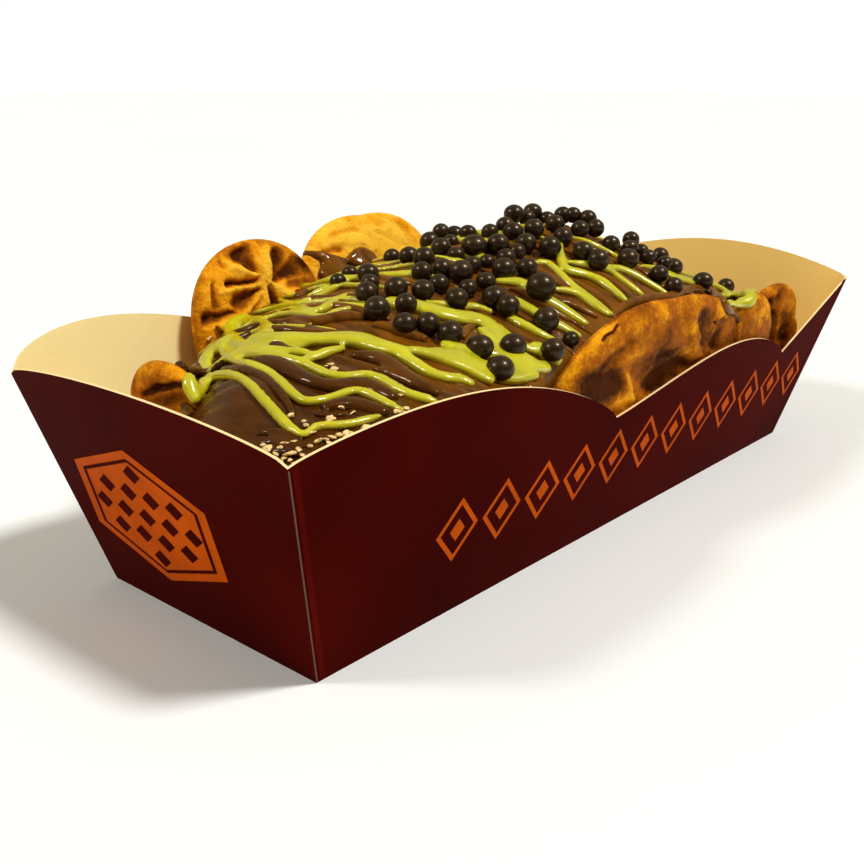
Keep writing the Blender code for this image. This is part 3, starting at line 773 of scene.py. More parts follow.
def floor_material(colour):
    """Plain pale floor."""
    material, tree, shader = new_material("studio_floor", 0.8)
    cloud = add_noise(tree, add_coords(tree), 0.5, 2.0)
    set_inputs(tree, shader, Base_Color=add_tones(tree, cloud, colour, (0.3, 0.98), (0.7, 1.0)),
               Specular_IOR_Level=0.2)
    return material


# The photograph's camera

def camera_axes():
    """Forward, right and up of the photograph's camera."""
    forward = Vector((math.sin(CAMERA_YAW) * math.cos(CAMERA_PITCH),
                      math.cos(CAMERA_YAW) * math.cos(CAMERA_PITCH), -math.sin(CAMERA_PITCH)))
    right = Vector((math.cos(CAMERA_YAW), -math.sin(CAMERA_YAW), 0.0))
    return forward, right, right.cross(forward)


def sight_line(pixel):
    """Direction from the camera through a pixel, one millimetre deep."""
    forward, right, up = camera_axes()
    middle = PHOTO_SIZE / 2
    return forward + right * (pixel[0] - middle) / CAMERA_FOCUS - up * (pixel[1] - middle) / CAMERA_FOCUS


def seen_pixel(point):
    """Pixel of the photograph in which a tray point shows."""
    forward, right, up = camera_axes()
    away = point - CAMERA_PLACE
    depth = away.dot(forward)
    middle = PHOTO_SIZE / 2
    return middle + away.dot(right) / depth * CAMERA_FOCUS, middle - away.dot(up) / depth * CAMERA_FOCUS


# Tray

def scallop_edge(start, end, shape, steps):
    """Points from start to end, bulging up by a skewed sine arch; the end point is left out."""
    bulge, skew, power = shape
    points = []
    for i in range(steps):
        t = i / steps
        arch = math.sin(math.pi * t ** skew) ** power if 0 < t < 1 else 0.0
        along = start[0] + (end[0] - start[0]) * t
        points.append((along, start[1] + (end[1] - start[1]) * t + bulge * arch))
    return points


def wall_corner_slope(flare):
    """Length up a wall's slope from the floor to the corner height."""
    return math.hypot(CORNER_HEIGHT, flare)


def long_wall_edge(scallops):
    """Top edge of a long wall as (x, distance up the slope), near end first."""
    rise = wall_corner_slope(SIDE_FLARE)
    ends = ((-FLOOR_LENGTH / 2 - NEAR_END_FLARE, rise), (NOTCH_X[0], NOTCH_RISE[0]),
            (NOTCH_X[1], NOTCH_RISE[1]), (FLOOR_LENGTH / 2 + FAR_END_FLARE, rise))
    points = []
    for i, shape in enumerate(scallops):
        points += scallop_edge(ends[i], ends[i + 1], shape, SCALLOP_STEPS[i])
    return points + [ends[-1]]


def end_wall_edge(flare, shape):
    """Top edge of an end wall as (y, distance up the slope), near side first."""
    rise = wall_corner_slope(flare)
    half = FLOOR_WIDTH / 2 + SIDE_FLARE
    return scallop_edge((-half, rise), (half, rise), shape, END_STEPS) + [(half, rise)]


def side_point(side, x, up, out=0.0):
    """Point of a long wall's outer face at x and a distance up its slope, moved out by out."""
    slope = wall_corner_slope(SIDE_FLARE)
    normal = Vector((0.0, side * CORNER_HEIGHT / slope, -SIDE_FLARE / slope))
    foot = Vector((x, side * FLOOR_WIDTH / 2, 0.0))
    return foot + Vector((0.0, side * SIDE_FLARE, CORNER_HEIGHT)) * (up / slope) + normal * out


def end_point(side, y, up, out=0.0):
    """Point of an end wall's outer face at y and a distance up its slope, moved out by out."""
    flare = NEAR_END_FLARE if side < 0 else FAR_END_FLARE
    slope = wall_corner_slope(flare)
    normal = Vector((side * CORNER_HEIGHT / slope, 0.0, -flare / slope))
    foot = Vector((side * FLOOR_LENGTH / 2, y, 0.0))
    return foot + Vector((side * flare, 0.0, CORNER_HEIGHT)) * (up / slope) + normal * out


def tray_loops():
    """Matching floor and rim points round the tray, counter-clockwise seen from above."""
    half_length, half_width = FLOOR_LENGTH / 2, FLOOR_WIDTH / 2
    top_near, top_far = half_length + NEAR_END_FLARE, half_length + FAR_END_FLARE
    top_side = half_width + SIDE_FLARE
    floor, rim = [], []
    for side, scallops in ((-1, NEAR_SCALLOPS), (1, FAR_SCALLOPS)):
        wall_floor, wall_rim = [], []
        for x, up in long_wall_edge(scallops):
            floor_x = -half_length + (x + top_near) / (top_near + top_far) * FLOOR_LENGTH
            wall_floor.append(side_point(side, floor_x, 0.0))
            wall_rim.append(side_point(side, x, up))
        flare, shape = ((FAR_END_FLARE, FAR_END_BULGE) if side < 0
                        else (NEAR_END_FLARE, NEAR_END_BULGE))
        end_floor, end_rim = [], []
        for y, up in end_wall_edge(flare, shape):
            end_floor.append(end_point(-side, y / top_side * half_width, 0.0))
            end_rim.append(end_point(-side, y, up))
        if side > 0:
            for points in (wall_floor, wall_rim, end_floor, end_rim):
                points.reverse()
        floor += wall_floor[:-1] + end_floor[:-1]
        rim += wall_rim[:-1] + end_rim[:-1]
    return floor, rim


def build_card(settings, materials):
    """Floor and walls as one sheet of card: walls extruded from the floor, then given its thickness."""
    floor, rim = tray_loops()
    bm = bmesh.new()
    low = [bm.verts.new(point) for point in floor]
    base = bm.faces.new(reversed(low))
    walls = bmesh.ops.extrude_edge_only(bm, edges=list(base.edges))["geom"]
    foot = {tuple(round(value, 4) for value in point): top for point, top in zip(floor, rim)}
    for vert in (item for item in walls if isinstance(item, bmesh.types.BMVert)):
        vert.co = foot[tuple(round(value, 4) for value in vert.co)]
    cut_tall_edges(bm, WALL_CUTS)
    bmesh.ops.recalc_face_normals(bm, faces=bm.faces)
    card = placed("tray_card", bm, materials)
    thicken(card, settings.card_thickness, -1, inner=1, edge=2)
    return card


def wall_patch(bm, on_wall, points):
    """Adds a flat patch to a wall from its points along and up it."""
    return bm.faces.new([bm.verts.new(on_wall(along, up)) for along, up in points])


def build_flaps(settings, materials):
    """Glued flaps of the long walls, flat on the inside of the end walls at all four corners."""
    bm = bmesh.new()
    for end in (-1, 1):
        rise = wall_corner_slope(FAR_END_FLARE if end > 0 else NEAR_END_FLARE)
        for side in (-1, 1):
            corner = [(FLOOR_WIDTH / 2 + SIDE_FLARE * up / rise - FLAP_INSET) * side for up in FLAP_UP]
            points = ((corner[0], FLAP_UP[0]), (corner[1], FLAP_UP[1]),
                      (FLAP_REACH[0] * side, FLAP_TOP), (FLAP_REACH[1] * side, FLAP_UP[0]))
            wall_patch(bm, lambda y, up, end=end: end_point(end, y, up, -CARD - FLAP_GAP),
                       points if side == end else points[::-1])
    flaps = placed("glue_flaps", bm, materials)
    thicken(flaps, settings.card_thickness * FLAP_THINNESS, 1, edge=1)
    return flaps


def build_seams(materials):
    """Upright seams on the long walls' outer faces: the end panel's cut edge in a dark painted shade, then
    the folded card in a lighter print as a painted sheen.
    """
    bm = bmesh.new()
    rise = wall_corner_slope(SIDE_FLARE)
    for side in (-1, 1):
        for end, flare in ((-1, NEAR_END_FLARE), (1, FAR_END_FLARE)):
            for index, (start, stop, proud) in enumerate(SEAM_STRIPS):
                def on_wall(along, up, side=side, end=end, flare=flare, proud=proud):
                    edge = FLOOR_LENGTH / 2 + flare * up / rise - along
                    return side_point(side, end * edge, up, proud)

                top = rise - SEAM_SHORT
                corners = ((start, SEAM_FOOT), (stop, SEAM_FOOT), (stop, top), (start, top))
                wall_patch(bm, on_wall, corners).material_index = index
    seams = placed("corner_seams", bm, materials)
    thicken(seams, SEAM_THICKNESS, 0)
    return seams


# Waffle

def lobe(width, crown, thick, foot, lean, heading=0.0, star=45.0, turn=0.0, base=LOBE_FOOT,
         seed=0.0, marks=None, tone=0.0, shoulder=(0.0, 0.0), rim=-0.1):
    """Measures of one lobe: shape and place as in the solid, then what only its finish has.

    That is its noise, its marks, how browned it and its rim are, and how much flatter its outline is
    at the upper left and right.
    """
    return {"width": width, "crown": crown, "thick": thick, "foot": foot, "lean": lean,
            "heading": heading, "star": star, "turn": turn, "base": base, "seed": seed,
            "marks": marks, "tone": tone, "shoulder": shoulder, "rim": rim}


WAFFLE_LOBES = {
    "waffle_rear": (
        lobe(46, 81, 11.0, (-56, 30.0), 12.5, star=58, turn=0.25, seed=1.0, marks="left",
             shoulder=(0.025, 0.0), rim=0.12),
        lobe(58, 84, 10.5, (-9, 30.2), 14.0, star=60, turn=0.1, seed=2.0, marks="second",
             tone=-0.22, shoulder=(-0.05, -0.05), rim=0.12),
        lobe(48, 71, 10.5, (37, 30.2), 13.0, star=48, turn=0.3, seed=3.0),
        lobe(44, 63, 10.5, (76, 30.2), 12.5, star=44, turn=0.2, seed=4.0),
    ),
    "waffle_front": (
        lobe(108, 64.5, 10.5, (19, -30.4), 11.5, heading=180, star=34, turn=0.2, seed=5.0, marks="front",
             tone=0.3, shoulder=(0.0, -0.07)),
        lobe(34, 58, 10.0, (74.5, -30.4), 11.5, heading=180, star=36, turn=0.35, seed=6.0,
             marks="front_small", tone=0.3),
    ),
    "waffle_tail": (
        lobe(24, 57, 9.0, (105, -27.0), 12.0, heading=165, star=40, turn=0.1, base=17, seed=7.0,
             marks="tail", tone=0.33),
        lobe(22, 51, 9.0, (114.0, -26.0), 16.0, heading=132, star=38, turn=0.2, base=28, seed=8.0,
             marks="tail", tone=0.34),
    ),
    "waffle_corner": (
        lobe(30, 62, 9.5, (-98.5, 12.0), 11.0, heading=90, star=44, turn=0.3, seed=9.0, marks="corner",
             tone=0.26),
    ),
}


def marks_at(pixel, marks):
    """Depth and browning that the marks give a pixel; the browning holds painted shade and painted light."""
    depth, brown_and_shade = 0.0, 0.0
    x, y = pixel
    for x1, y1, r1, x2, y2, r2, mark_depth, mark_brown_and_shade in marks:
        if min(x1, x2) - MARK_REACH > x or max(x1, x2) + MARK_REACH < x:
            continue
        run_x, run_y = x2 - x1, y2 - y1
        t = min(max(((x - x1) * run_x + (y - y1) * run_y) / (run_x ** 2 + run_y ** 2), 0.0), 1.0)
        aside = math.hypot(x - x1 - run_x * t, y - y1 - run_y * t)
        share = 1 - smooth_step(*MARK_FADE, aside / (r1 + (r2 - r1) * t))
        depth += mark_depth * share
        brown_and_shade = max(brown_and_shade, mark_brown_and_shade * share) if mark_brown_and_shade > 0 else brown_and_shade + mark_brown_and_shade * share
    return min(depth, MARK_DEEPEST), brown_and_shade


def pocket_depth(reach, angle, spread, spec):
    """How deep a pocket is at a place of the lobe's face, from 0 to 1: wedges between the star's ridges."""
    seed = spec["seed"] * LOBE_SEED_STEP
    u, v = reach * math.cos(angle), reach * math.sin(angle)
    turns = (angle + wave(STAR_WAVE, u, v, seed) + spec["turn"]) * STAR_RAYS / (2 * math.pi)
    offset = abs(turns - round(turns)) * 2 * math.pi / STAR_RAYS
    aside = reach * math.sin(min(offset, math.pi / 2))
    half_width = RIDGE_HALF_WIDTH * (1 + wave(RIDGE_WAVE, u, v, seed + 3))
    wedge = smooth_step(half_width, half_width + POCKET_SLOPE, aside)
    inner = smooth_step(*STAR_MIDDLE, reach)
    edge = spread + wave(POCKET_END_WAVE, u, v, seed + 5)
    return wedge * inner * (1 - smooth_step(*POCKET_END, edge))


def lobe_form(spec, depth, cell=LOBE_CELL):
    """A lobe's closed mesh: an arch-shaped pillow with ridges and pockets, darker where it is deep, from
    browning and painted shade.
    """
    half = spec["width"] / 2
    centre = spec["star"]
    up_reach = spec["crown"] - centre
    down_reach = centre - spec["base"]
    thick = spec["thick"] / 2
    around = int(2 * math.pi * max(half, up_reach) * LOBE_AROUND / cell)
    across = int(math.pi * max(half, up_reach) * LOBE_ACROSS / cell)
    place = (Matrix.Translation(Vector((*spec["foot"], 0.0)))
             @ Matrix.Rotation(math.radians(spec["heading"]), 4, "Z")
             @ Matrix.Rotation(math.radians(-spec["lean"]), 4, "X"))
    seen_side = 1 if (place.to_3x3() @ Vector((0.0, 1.0, 0.0))).dot(camera_axes()[0]) < 0 else -1
    marks = MARKS_SEEN.get(spec["marks"], ())
    bm = bmesh.new()
    bmesh.ops.create_uvsphere(bm, u_segments=around, v_segments=across, radius=1.0)
    browning_and_shade = bm.verts.layers.float.new("browning_and_shade")
    seed = spec["seed"] * LOBE_SEED_STEP
    for vert in bm.verts:
        angle = math.atan2(vert.co.y, vert.co.x)
        spread = min(math.hypot(vert.co.x, vert.co.y), 1.0)
        sine, cosine = math.sin(angle), math.cos(angle)
        power = CROWN_POWER if sine > 0 else FOOT_POWER
        tall = up_reach if sine > 0 else down_reach
        radius = (abs(cosine / half) ** power + abs(sine / tall) ** power) ** (-1 / power)
        if sine > 0:
            radius *= 1 - spec["shoulder"][cosine > 0] * abs(math.sin(2 * angle))
        reach = radius * spread
        u, v = reach * cosine, reach * sine
        side = 1 if vert.co.z > 0 else -1
        pillow = thick * (1 - spread ** 4) ** 0.5
        if marks and side == seen_side:
            # Marks give depth, and browning that paints shade in hollows and light on ridges
            x, y = seen_pixel(place @ Vector((u, side * pillow, centre + v)))
            pixel = (x + wave(MARK_WAVE, u, v, seed), y + wave(MARK_WAVE, u, v, seed + 9))
            dent, brown_and_shade = marks_at(pixel, marks)
        else:
            # Pockets get browning that is partly painted shade
            deep = pocket_depth(reach, angle, spread, spec)
            dent, brown_and_shade = depth * deep, POCKET_BROWNING_AND_SHADE * deep
        fade = 1 - smooth_step(*FACE_END, spread)
        body = pillow - (dent + relief(LOBE_RELIEF, u, v, seed + side)) * fade
        if abs(vert.co.z) < RIM_NEAR:
            side, body = 1, 0.0
        vert.co = Vector((u, side * body, centre + v))
        rim = smooth_step(*RIM_BAND, spread)
        vert[browning_and_shade] = USUAL_BROWNING + spec["tone"] + brown_and_shade + spec["rim"] * rim
    bmesh.ops.transform(bm, matrix=place, verts=bm.verts)
    bmesh.ops.recalc_face_normals(bm, faces=bm.faces)
    return bm


# Topping

def wall_lean(z):
    """How far a long wall's face stands out at height z."""
    return SIDE_FLARE * z / CORNER_HEIGHT


def near_edge_y(x):
    """Near edge of the mound: the tray wall on the left, the middle of the waffle on the right."""
    z = smooth_table(MOUND_X, NEAR_Z, x)
    at_wall = -(FLOOR_WIDTH / 2 - CARD - 2 * GAP + wall_lean(z))
    at_slab = -(FLOOR_WIDTH / 2 - SLAB_INSET + wall_lean(z))
    t = (x - NEAR_WALL_END_X) / (NEAR_SLAB_START_X - NEAR_WALL_END_X)
    t = min(max(t, 0.0), 1.0)
    return at_wall + (at_slab - at_wall) * t


def far_edge_y(x):
    """Far edge of the mound."""
    return smooth_table(MOUND_X, FAR_Y, x)


def mound_height(x, y):
    """Height of the topping's bare surface, as in the solid."""
    ridge_y = smooth_table(MOUND_X, RIDGE_Y, x)
    ridge_z = smooth_table(MOUND_X, RIDGE_Z, x)
    if y < ridge_y:
        edge_y = near_edge_y(x)
        edge_z = smooth_table(MOUND_X, NEAR_Z, x)
    else:
        edge_y = far_edge_y(x)
        edge_z = smooth_table(MOUND_X, FAR_Z, x)
    t = min(abs((y - ridge_y) / (edge_y - ridge_y)), 1.0)
    return ridge_z - (ridge_z - edge_z) * t ** MOUND_FULLNESS


def surface_height(x, y):
    """Height of the chocolate's surface without its fine streaks: the mound with broad lumps."""
    return mound_height(x, y) + relief(MOUND_LUMPS, x, y)


def surface_normal(x, y):
    """Upward unit normal of the chocolate's surface."""
    dx = (surface_height(x + SLOPE_STEP, y) - surface_height(x - SLOPE_STEP, y)) / (2 * SLOPE_STEP)
    dy = (surface_height(x, y + SLOPE_STEP) - surface_height(x, y - SLOPE_STEP)) / (2 * SLOPE_STEP)
    return Vector((-dx, -dy, 1.0)).normalized()


def streaks(x, y):
    """Fine relief of the spread along its runs, from far left to near right."""
    across = x + STREAK_SLANT * y + wave(STREAK_WAVE, x, y, 2.0)
    return relief(STREAKS, across, y - STREAK_SLANT * x)


@functools.lru_cache(maxsize=None)
def food_tree():
    """The spread without its streaks and the pieces of waffle, as one tree to lay things on."""
    mound = mound_form(MOUND_COLUMNS // 2, MOUND_ROWS // 2, streaky=False)
    lobes = [lobe_form(spec, 0.0, TREE_CELL) for specs in WAFFLE_LOBES.values() for spec in specs]
    whole = merged([mound, *lobes])
    tree = BVHTree.FromBMesh(whole)
    whole.free()
    return tree


def food_gap(point):
    """Distance from a point to the food, negative inside it, with the nearest place and its normal."""
    place, normal, _, distance = food_tree().find_nearest(point)
    if (point - place).dot(normal) < 0:
        distance = -distance
    return distance, place, normal


def rest_on(pixel, clearance, others=()):
    """Where a ball, moved away from the camera through a pixel, comes to lie; clearance is its radius.

    Balls that lie already, as (middle, radius), stop it too. One that would fly past is laid on the
    side of the food that it passes.
    """
    line = sight_line(pixel).normalized()
    reach = NEAREST_FOOD
    best, least, toward = None, FARTHEST_FOOD, None
    while reach < FARTHEST_FOOD:
        point = CAMERA_PLACE + line * reach
        distance, place, _ = food_gap(point)
        gap = distance - clearance
        for middle, radius in others:
            gap = min(gap, (point - middle).length - (radius + clearance) * BALL_SQUEEZE)
        if gap < least:
            best, least, toward = point, gap, place
        if gap < REST_GAP:
            return point
        reach += gap
    return best + (toward - best).normalized() * least


def out_of_sight(point):
    """Whether the food hides a place from the photograph's camera."""
    away = point - CAMERA_PLACE
    hit = food_tree().ray_cast(CAMERA_PLACE, away.normalized(), away.length - SIGHT_MARGIN)
    return hit[0] is not None


def pixel_size(point):
    """Millimetres that one pixel covers at a place."""
    return (point - CAMERA_PLACE).dot(camera_axes()[0]) / CAMERA_FOCUS


def seen_lines(routes, lift, seed):
    """Lines of (point, radius) along the runs that the photograph shows, lying on the food."""
    draw = random.Random(seed)
    lines = []
    for half_width, *pixels in routes.values():
        line = []
        for i, pixel in enumerate(pixels):
            point = rest_on(pixel, lift * half_width * USUAL_PIXEL)
            radius = WIDENING * half_width * pixel_size(point) * draw.uniform(*UNEVEN_WIDTH)
            if i in (0, len(pixels) - 1):
                radius *= END_TAPER
            line.append((point, radius))
        lines.append(line)
    return lines


def drawn_lines(seed, pitch, span, near_share, radius, lift):
    """Lines drawn by a rule over the far side of the mound, where the photograph doesn't reach."""
    draw = random.Random(seed)
    lines = []
    x, end = span
    while x < end:
        drift = draw.uniform(*RULE_DRIFT)
        reach = draw.uniform(*RULE_WAVE)
        phase = draw.uniform(0, 2 * math.pi)
        far = far_edge_y(x) - draw.uniform(*RULE_INSET)
        ridge = smooth_table(MOUND_X, RIDGE_Y, x)
        near = ridge + (near_edge_y(x) - ridge) * near_share * draw.uniform(*RULE_REACH)
        size = radius * draw.uniform(*RULE_SIZE)
        line = []
        for i in range(RULE_STEPS + 1):
            t = i / RULE_STEPS
            sway = reach * math.sin(RULE_WAVES * math.pi * t + phase) * math.sin(math.pi * t) ** 0.5
            place_x, place_y = x + drift * t + sway, far + (near - far) * t
            point = Vector((place_x, place_y, surface_height(place_x, place_y)))
            point += surface_normal(place_x, place_y) * lift * size
            share = END_TAPER if i in (0, RULE_STEPS) else draw.uniform(*RULE_UNEVEN)
            line.append((point, size * share))
        lines.append(line)
        x += pitch * draw.uniform(*RULE_PITCH)
    return lines


def tube_mesh(name, lines):
    """Tubes along 3-D lines of (point, radius), as one mesh made from a curve."""
    curve = bpy.data.curves.new(name, "CURVE")
    curve.dimensions = "3D"
    curve.bevel_depth = 1.0
    curve.bevel_resolution = 3
    curve.use_fill_caps = True
    for line in lines:
        spline = curve.splines.new("NURBS")
        spline.points.add(len(line) - 1)
        for control, (point, radius) in zip(spline.points, line):
            control.co = (*point, 1.0)
            control.radius = radius
        spline.order_u = 3
        spline.use_endpoint_u = True
        spline.resolution_u = 5
    guide = bpy.data.objects.new(name, curve)
    bpy.context.scene.collection.objects.link(guide)
    mesh = evaluated_mesh(guide)
    bpy.data.objects.remove(guide)
    bpy.data.curves.remove(curve)
    return mesh


def melted(name, mesh, cell, height, materials):
    """Fuses tubes into one soft body: pressed flat on the food to a height, remeshed and smoothed."""
    bm = bmesh.new()
    bm.from_mesh(mesh)
    bpy.data.meshes.remove(mesh)
    for vert in bm.verts:
        gap, place, _ = food_gap(vert.co)
        if gap > 0:
            vert.co = place + (vert.co - place) * (height * math.tanh(gap / height) / gap)
    obj = placed(name, bm, materials)
    remesh = obj.modifiers.new("fuse", "REMESH")
    remesh.mode = "VOXEL"
    remesh.voxel_size = cell
    remesh.use_smooth_shade = True
    soften = obj.modifiers.new("soften", "SMOOTH")
    soften.factor = 0.5
    soften.iterations = SMOOTH_PASSES
    apply_modifiers(obj)
    obj.data.materials.clear()
    for material in materials:
        obj.data.materials.append(material)
    # Closeness to the food, where the sauce is darker: partly thin sauce, partly painted contact shade
    thin = obj.data.attributes.new("thin", "FLOAT", "POINT")
    for vert, value in zip(obj.data.vertices, thin.data):
        gap = food_gap(vert.co / MM - TRAY_CENTRE)[0]
        value.value = 1 - smooth_step(0.0, THIN_AND_SHADE_SHARE * height, gap)
    return obj


def mound_form(columns, rows, streaky=True):
    """The spread's closed body: a grid shaped to the mound, brought down to the tray's floor."""
    bm = bmesh.new()
    bmesh.ops.create_grid(bm, x_segments=columns, y_segments=rows, size=1.0)
    start, end = MOUND_X[0], MOUND_X[-1]
    for vert in bm.verts:
        along, over = (vert.co.x + 1) / 2, (vert.co.y + 1) / 2
        x = start + (end - start) * along
        near, far = near_edge_y(x), far_edge_y(x)
        y = near + (far - near) * over
        vert.co = Vector((x, y, surface_height(x, y) + (streaks(x, y) if streaky else 0.0)))
    rim = [edge for edge in bm.edges if edge.is_boundary]
    skirt = bmesh.ops.extrude_edge_only(bm, edges=rim)["geom"]
    foot = [item for item in skirt if isinstance(item, bmesh.types.BMVert)]
    half_length = FLOOR_LENGTH / 2 - CARD - 2 * GAP
    for vert in foot:
        x, y, z = vert.co
        near, far = near_edge_y(x), far_edge_y(x)
        drop = wall_lean(z) * (2 * (y - near) / (far - near) - 1)
        foot_x = -half_length + (MOUND_FAR_FOOT_X + half_length) * (x - start) / (end - start)
        vert.co = Vector((foot_x, y - drop, MOUND_FOOT))
    cut_tall_edges(bm, SKIRT_CUTS)
    bmesh.ops.holes_fill(bm, edges=[edge for edge in bm.edges if edge.is_boundary], sides=0)
    bmesh.ops.recalc_face_normals(bm, faces=bm.faces)
    return bm


def ball_spots(count, radius):
    """Middle and radius of each ball: those that the photograph shows, then more on the far side."""
    draw = random.Random(BALL_PLACE_SEED)
    spots = []
    seen = []
    for x_px, y_px, r_px in BALLS_SEEN:
        point = rest_on((x_px, y_px), radius)
        size = min(max(r_px * pixel_size(point), radius * BALL_SIZES[0]), radius * BALL_SIZES[1])
        seen.append(((point - CAMERA_PLACE).length, (x_px, y_px), size))
    for _, pixel, size in sorted(seen, reverse=True):
        spots.append((rest_on(pixel, size - BALL_SINK, spots), size))
    tries = 0
    while len(spots) < count and tries < FAR_BALL_TRIES:
        tries += 1
        x = draw.uniform(*FAR_BALLS_X)
        y = smooth_table(MOUND_X, RIDGE_Y, x) + FAR_BALLS_PAST_RIDGE + abs(draw.gauss(0, FAR_BALLS_SPREAD))
        size = radius * draw.uniform(*FAR_BALL_SIZES)
        if y > far_edge_y(x) - FAR_BALLS_INSET:
            continue
        middle = Vector((x, y, surface_height(x, y))) + surface_normal(x, y) * (size - BALL_SINK)
        if not out_of_sight(middle + Vector((0.0, 0.0, size))):
            continue
        if all((middle - other).length > size + around for other, around in spots):
            spots.append((middle, size))
    return spots


def build_balls(settings, materials):
    """All the chocolate balls as one mesh; each is a little out of round."""
    draw = random.Random(BALL_FORM_SEED)
    forms = []
    for middle, size in ball_spots(settings.ball_count, settings.ball_radius / MM):
        bm = bmesh.new()
        bmesh.ops.create_icosphere(bm, subdivisions=3, radius=size)
        stretch = Matrix.Diagonal((*(draw.uniform(*span) for span in BALL_STRETCH), 1.0))
        turn = Matrix.Rotation(draw.uniform(0, math.pi), 4, "Z")
        bmesh.ops.transform(bm, matrix=Matrix.Translation(middle) @ turn @ stretch, verts=bm.verts)
        forms.append(bm)
    return placed("chocolate_balls", merged(forms), materials)


def build_nuts(materials):
    """Chopped nuts and wafer crumbs as one mesh: flat, broken bits on the chocolate."""
    draw = random.Random(NUT_SEED)
    forms = []
    spots = [rest_on(pixel, NUT_CLEARANCE) for pixel in NUTS_SEEN]
    while len(spots) < NUT_COUNT:
        x = draw.uniform(*NUTS_X)
        y = draw.uniform(near_edge_y(x) + NUTS_INSET[0], near_edge_y(x) + NUTS_INSET[1])
        spots.append(Vector((x, y, surface_height(x, y) + NUT_LIFT)))
    for spot in spots:
        bm = bmesh.new()
        bmesh.ops.create_icosphere(bm, subdivisions=2, radius=1.0)
        size = draw.uniform(*NUT_SIZE)
        seed = draw.uniform(0, 99)
        dent, pitch = NUT_DENT
        for vert in bm.verts:
            vert.co *= 1 + dent * rough(vert.co.x * pitch, vert.co.y * pitch, vert.co.z * pitch + seed)
        length, thickness = size * draw.uniform(*NUT_LENGTH), size * draw.uniform(*NUT_THICKNESS)
        shape = Matrix.Diagonal((length, size, thickness, 1.0))
        turn = (Matrix.Rotation(draw.uniform(0, 2 * math.pi), 4, "Z")
                @ Matrix.Rotation(draw.uniform(*NUT_TILT), 4, "X"))
        bmesh.ops.transform(bm, matrix=Matrix.Translation(spot) @ turn @ shape, verts=bm.verts)
        forms.append(bm)
    nuts = placed("chopped_nuts", merged(forms), materials)
    nuts.data.set_sharp_from_angle(angle=NUT_ANGLE)
    return nuts


def print_shape(bm, on_wall, u, v, half_u, half_v, corners=4, width=None, ink=0):
    """Adds a diamond or another even polygon to a wall, whole or as a line of a width, in one ink."""
    made = bmesh.ops.create_circle(bm, cap_ends=True, segments=corners, radius=1.0)["verts"]
    faces = list({face for vert in made for face in vert.link_faces})
    if width:
        inner = bmesh.ops.inset_region(bm, faces=faces, thickness=width / min(half_u, half_v),
                                       use_boundary=True, use_even_offset=True)["faces"]
        bmesh.ops.delete(bm, geom=[face for face in faces if face not in inner and face.is_valid],
                         context="FACES_ONLY")
        made += [vert for face in inner for vert in face.verts]
    for vert in set(made):
        if vert.is_valid:
            vert.co = on_wall(u + vert.co.x * half_u, v + vert.co.y * half_v)
            for face in vert.link_faces:
                face.material_index = ink


def build_print(materials):
    """Orange figures: a hexagon with dark diamonds on each end, a row of framed diamonds on each side."""
    bm = bmesh.new()
    for side in (-1, 1):
        def on_end(y, up, side=side):
            return end_point(side, y, up, PRINT_PROUD)

        def over_end(y, up, side=side):
            return end_point(side, y, up, OVERPRINT_PROUD)

        def on_side(x, up, side=side):
            return side_point(side, x, up, PRINT_PROUD)

        print_shape(bm, on_end, HEXAGON_Y, HEXAGON_UP, *HEXAGON_HALF, corners=6)
        print_shape(bm, over_end, HEXAGON_Y, HEXAGON_UP, *HEXAGON_LINE_HALF, corners=6,
                    width=HEXAGON_LINE_WIDTH, ink=1)
        for row in DARK_STEPS:
            for column in DARK_STEPS:
                aside = column * DARK_PITCH[0] + (row % 2) * DARK_PITCH[0] / 2
                if abs(aside) < DARK_REACH[abs(row)]:
                    print_shape(bm, over_end, HEXAGON_Y + aside, HEXAGON_UP + row * DARK_PITCH[1],
                                *DARK_HALF, ink=1)
        for i in range(ROW_COUNT):
            x = ROW_START + i * ROW_PITCH
            print_shape(bm, on_side, x, ROW_UP, *ROW_FRAME_HALF, width=ROW_FRAME_WIDTH)
            print_shape(bm, on_side, x, ROW_UP, *ROW_DOT_HALF)
    for face in bm.faces:
        face.normal_update()
        middle = face.calc_center_median()
        if face.normal.dot(Vector((middle.x, middle.y, 0.0))) < 0:
            face.normal_flip()
    return placed("printed_figures", bm, materials)


# Settings

class TraySettings(bpy.types.PropertyGroup):
    """Card tray."""
    card_thickness: bpy.props.FloatProperty(
        name="Card", description="Thickness of the card", default=CARD * MM, unit="LENGTH", precision=5)
    print_colour: bpy.props.FloatVectorProperty(
        name="Print", description="Dark print outside", default=(0.054, 0.0018, 0.0007), subtype="COLOR")
    # Inside colour at the near end, made paler as painted light
    inside_near_lit_colour: bpy.props.FloatVectorProperty(
        name="Inside", description="Cream card inside", default=(1.0, 0.87, 0.46), subtype="COLOR")
    # Inside colour at the far end, made darker as painted shade
    inside_far_shade_colour: bpy.props.FloatVectorProperty(
        name="Inside far", description="Cream card at the far end", default=(0.92, 0.64, 0.19),
        subtype="COLOR")
    edge_colour: bpy.props.FloatVectorProperty(
        name="Cut edge", description="Pale cut edge", default=(0.95, 0.76, 0.42), subtype="COLOR")
    # The seam's cut edge, far darker than the card's own cut edge: painted shade
    seam_shade_colour: bpy.props.FloatVectorProperty(
        name="Seam", description="Cut edge seen along the upright seams", default=(0.10, 0.042, 0.018),
        subtype="COLOR")
    ink_colour: bpy.props.FloatVectorProperty(
        name="Ink", description="Orange print", default=(0.54, 0.082, 0.001), subtype="COLOR")


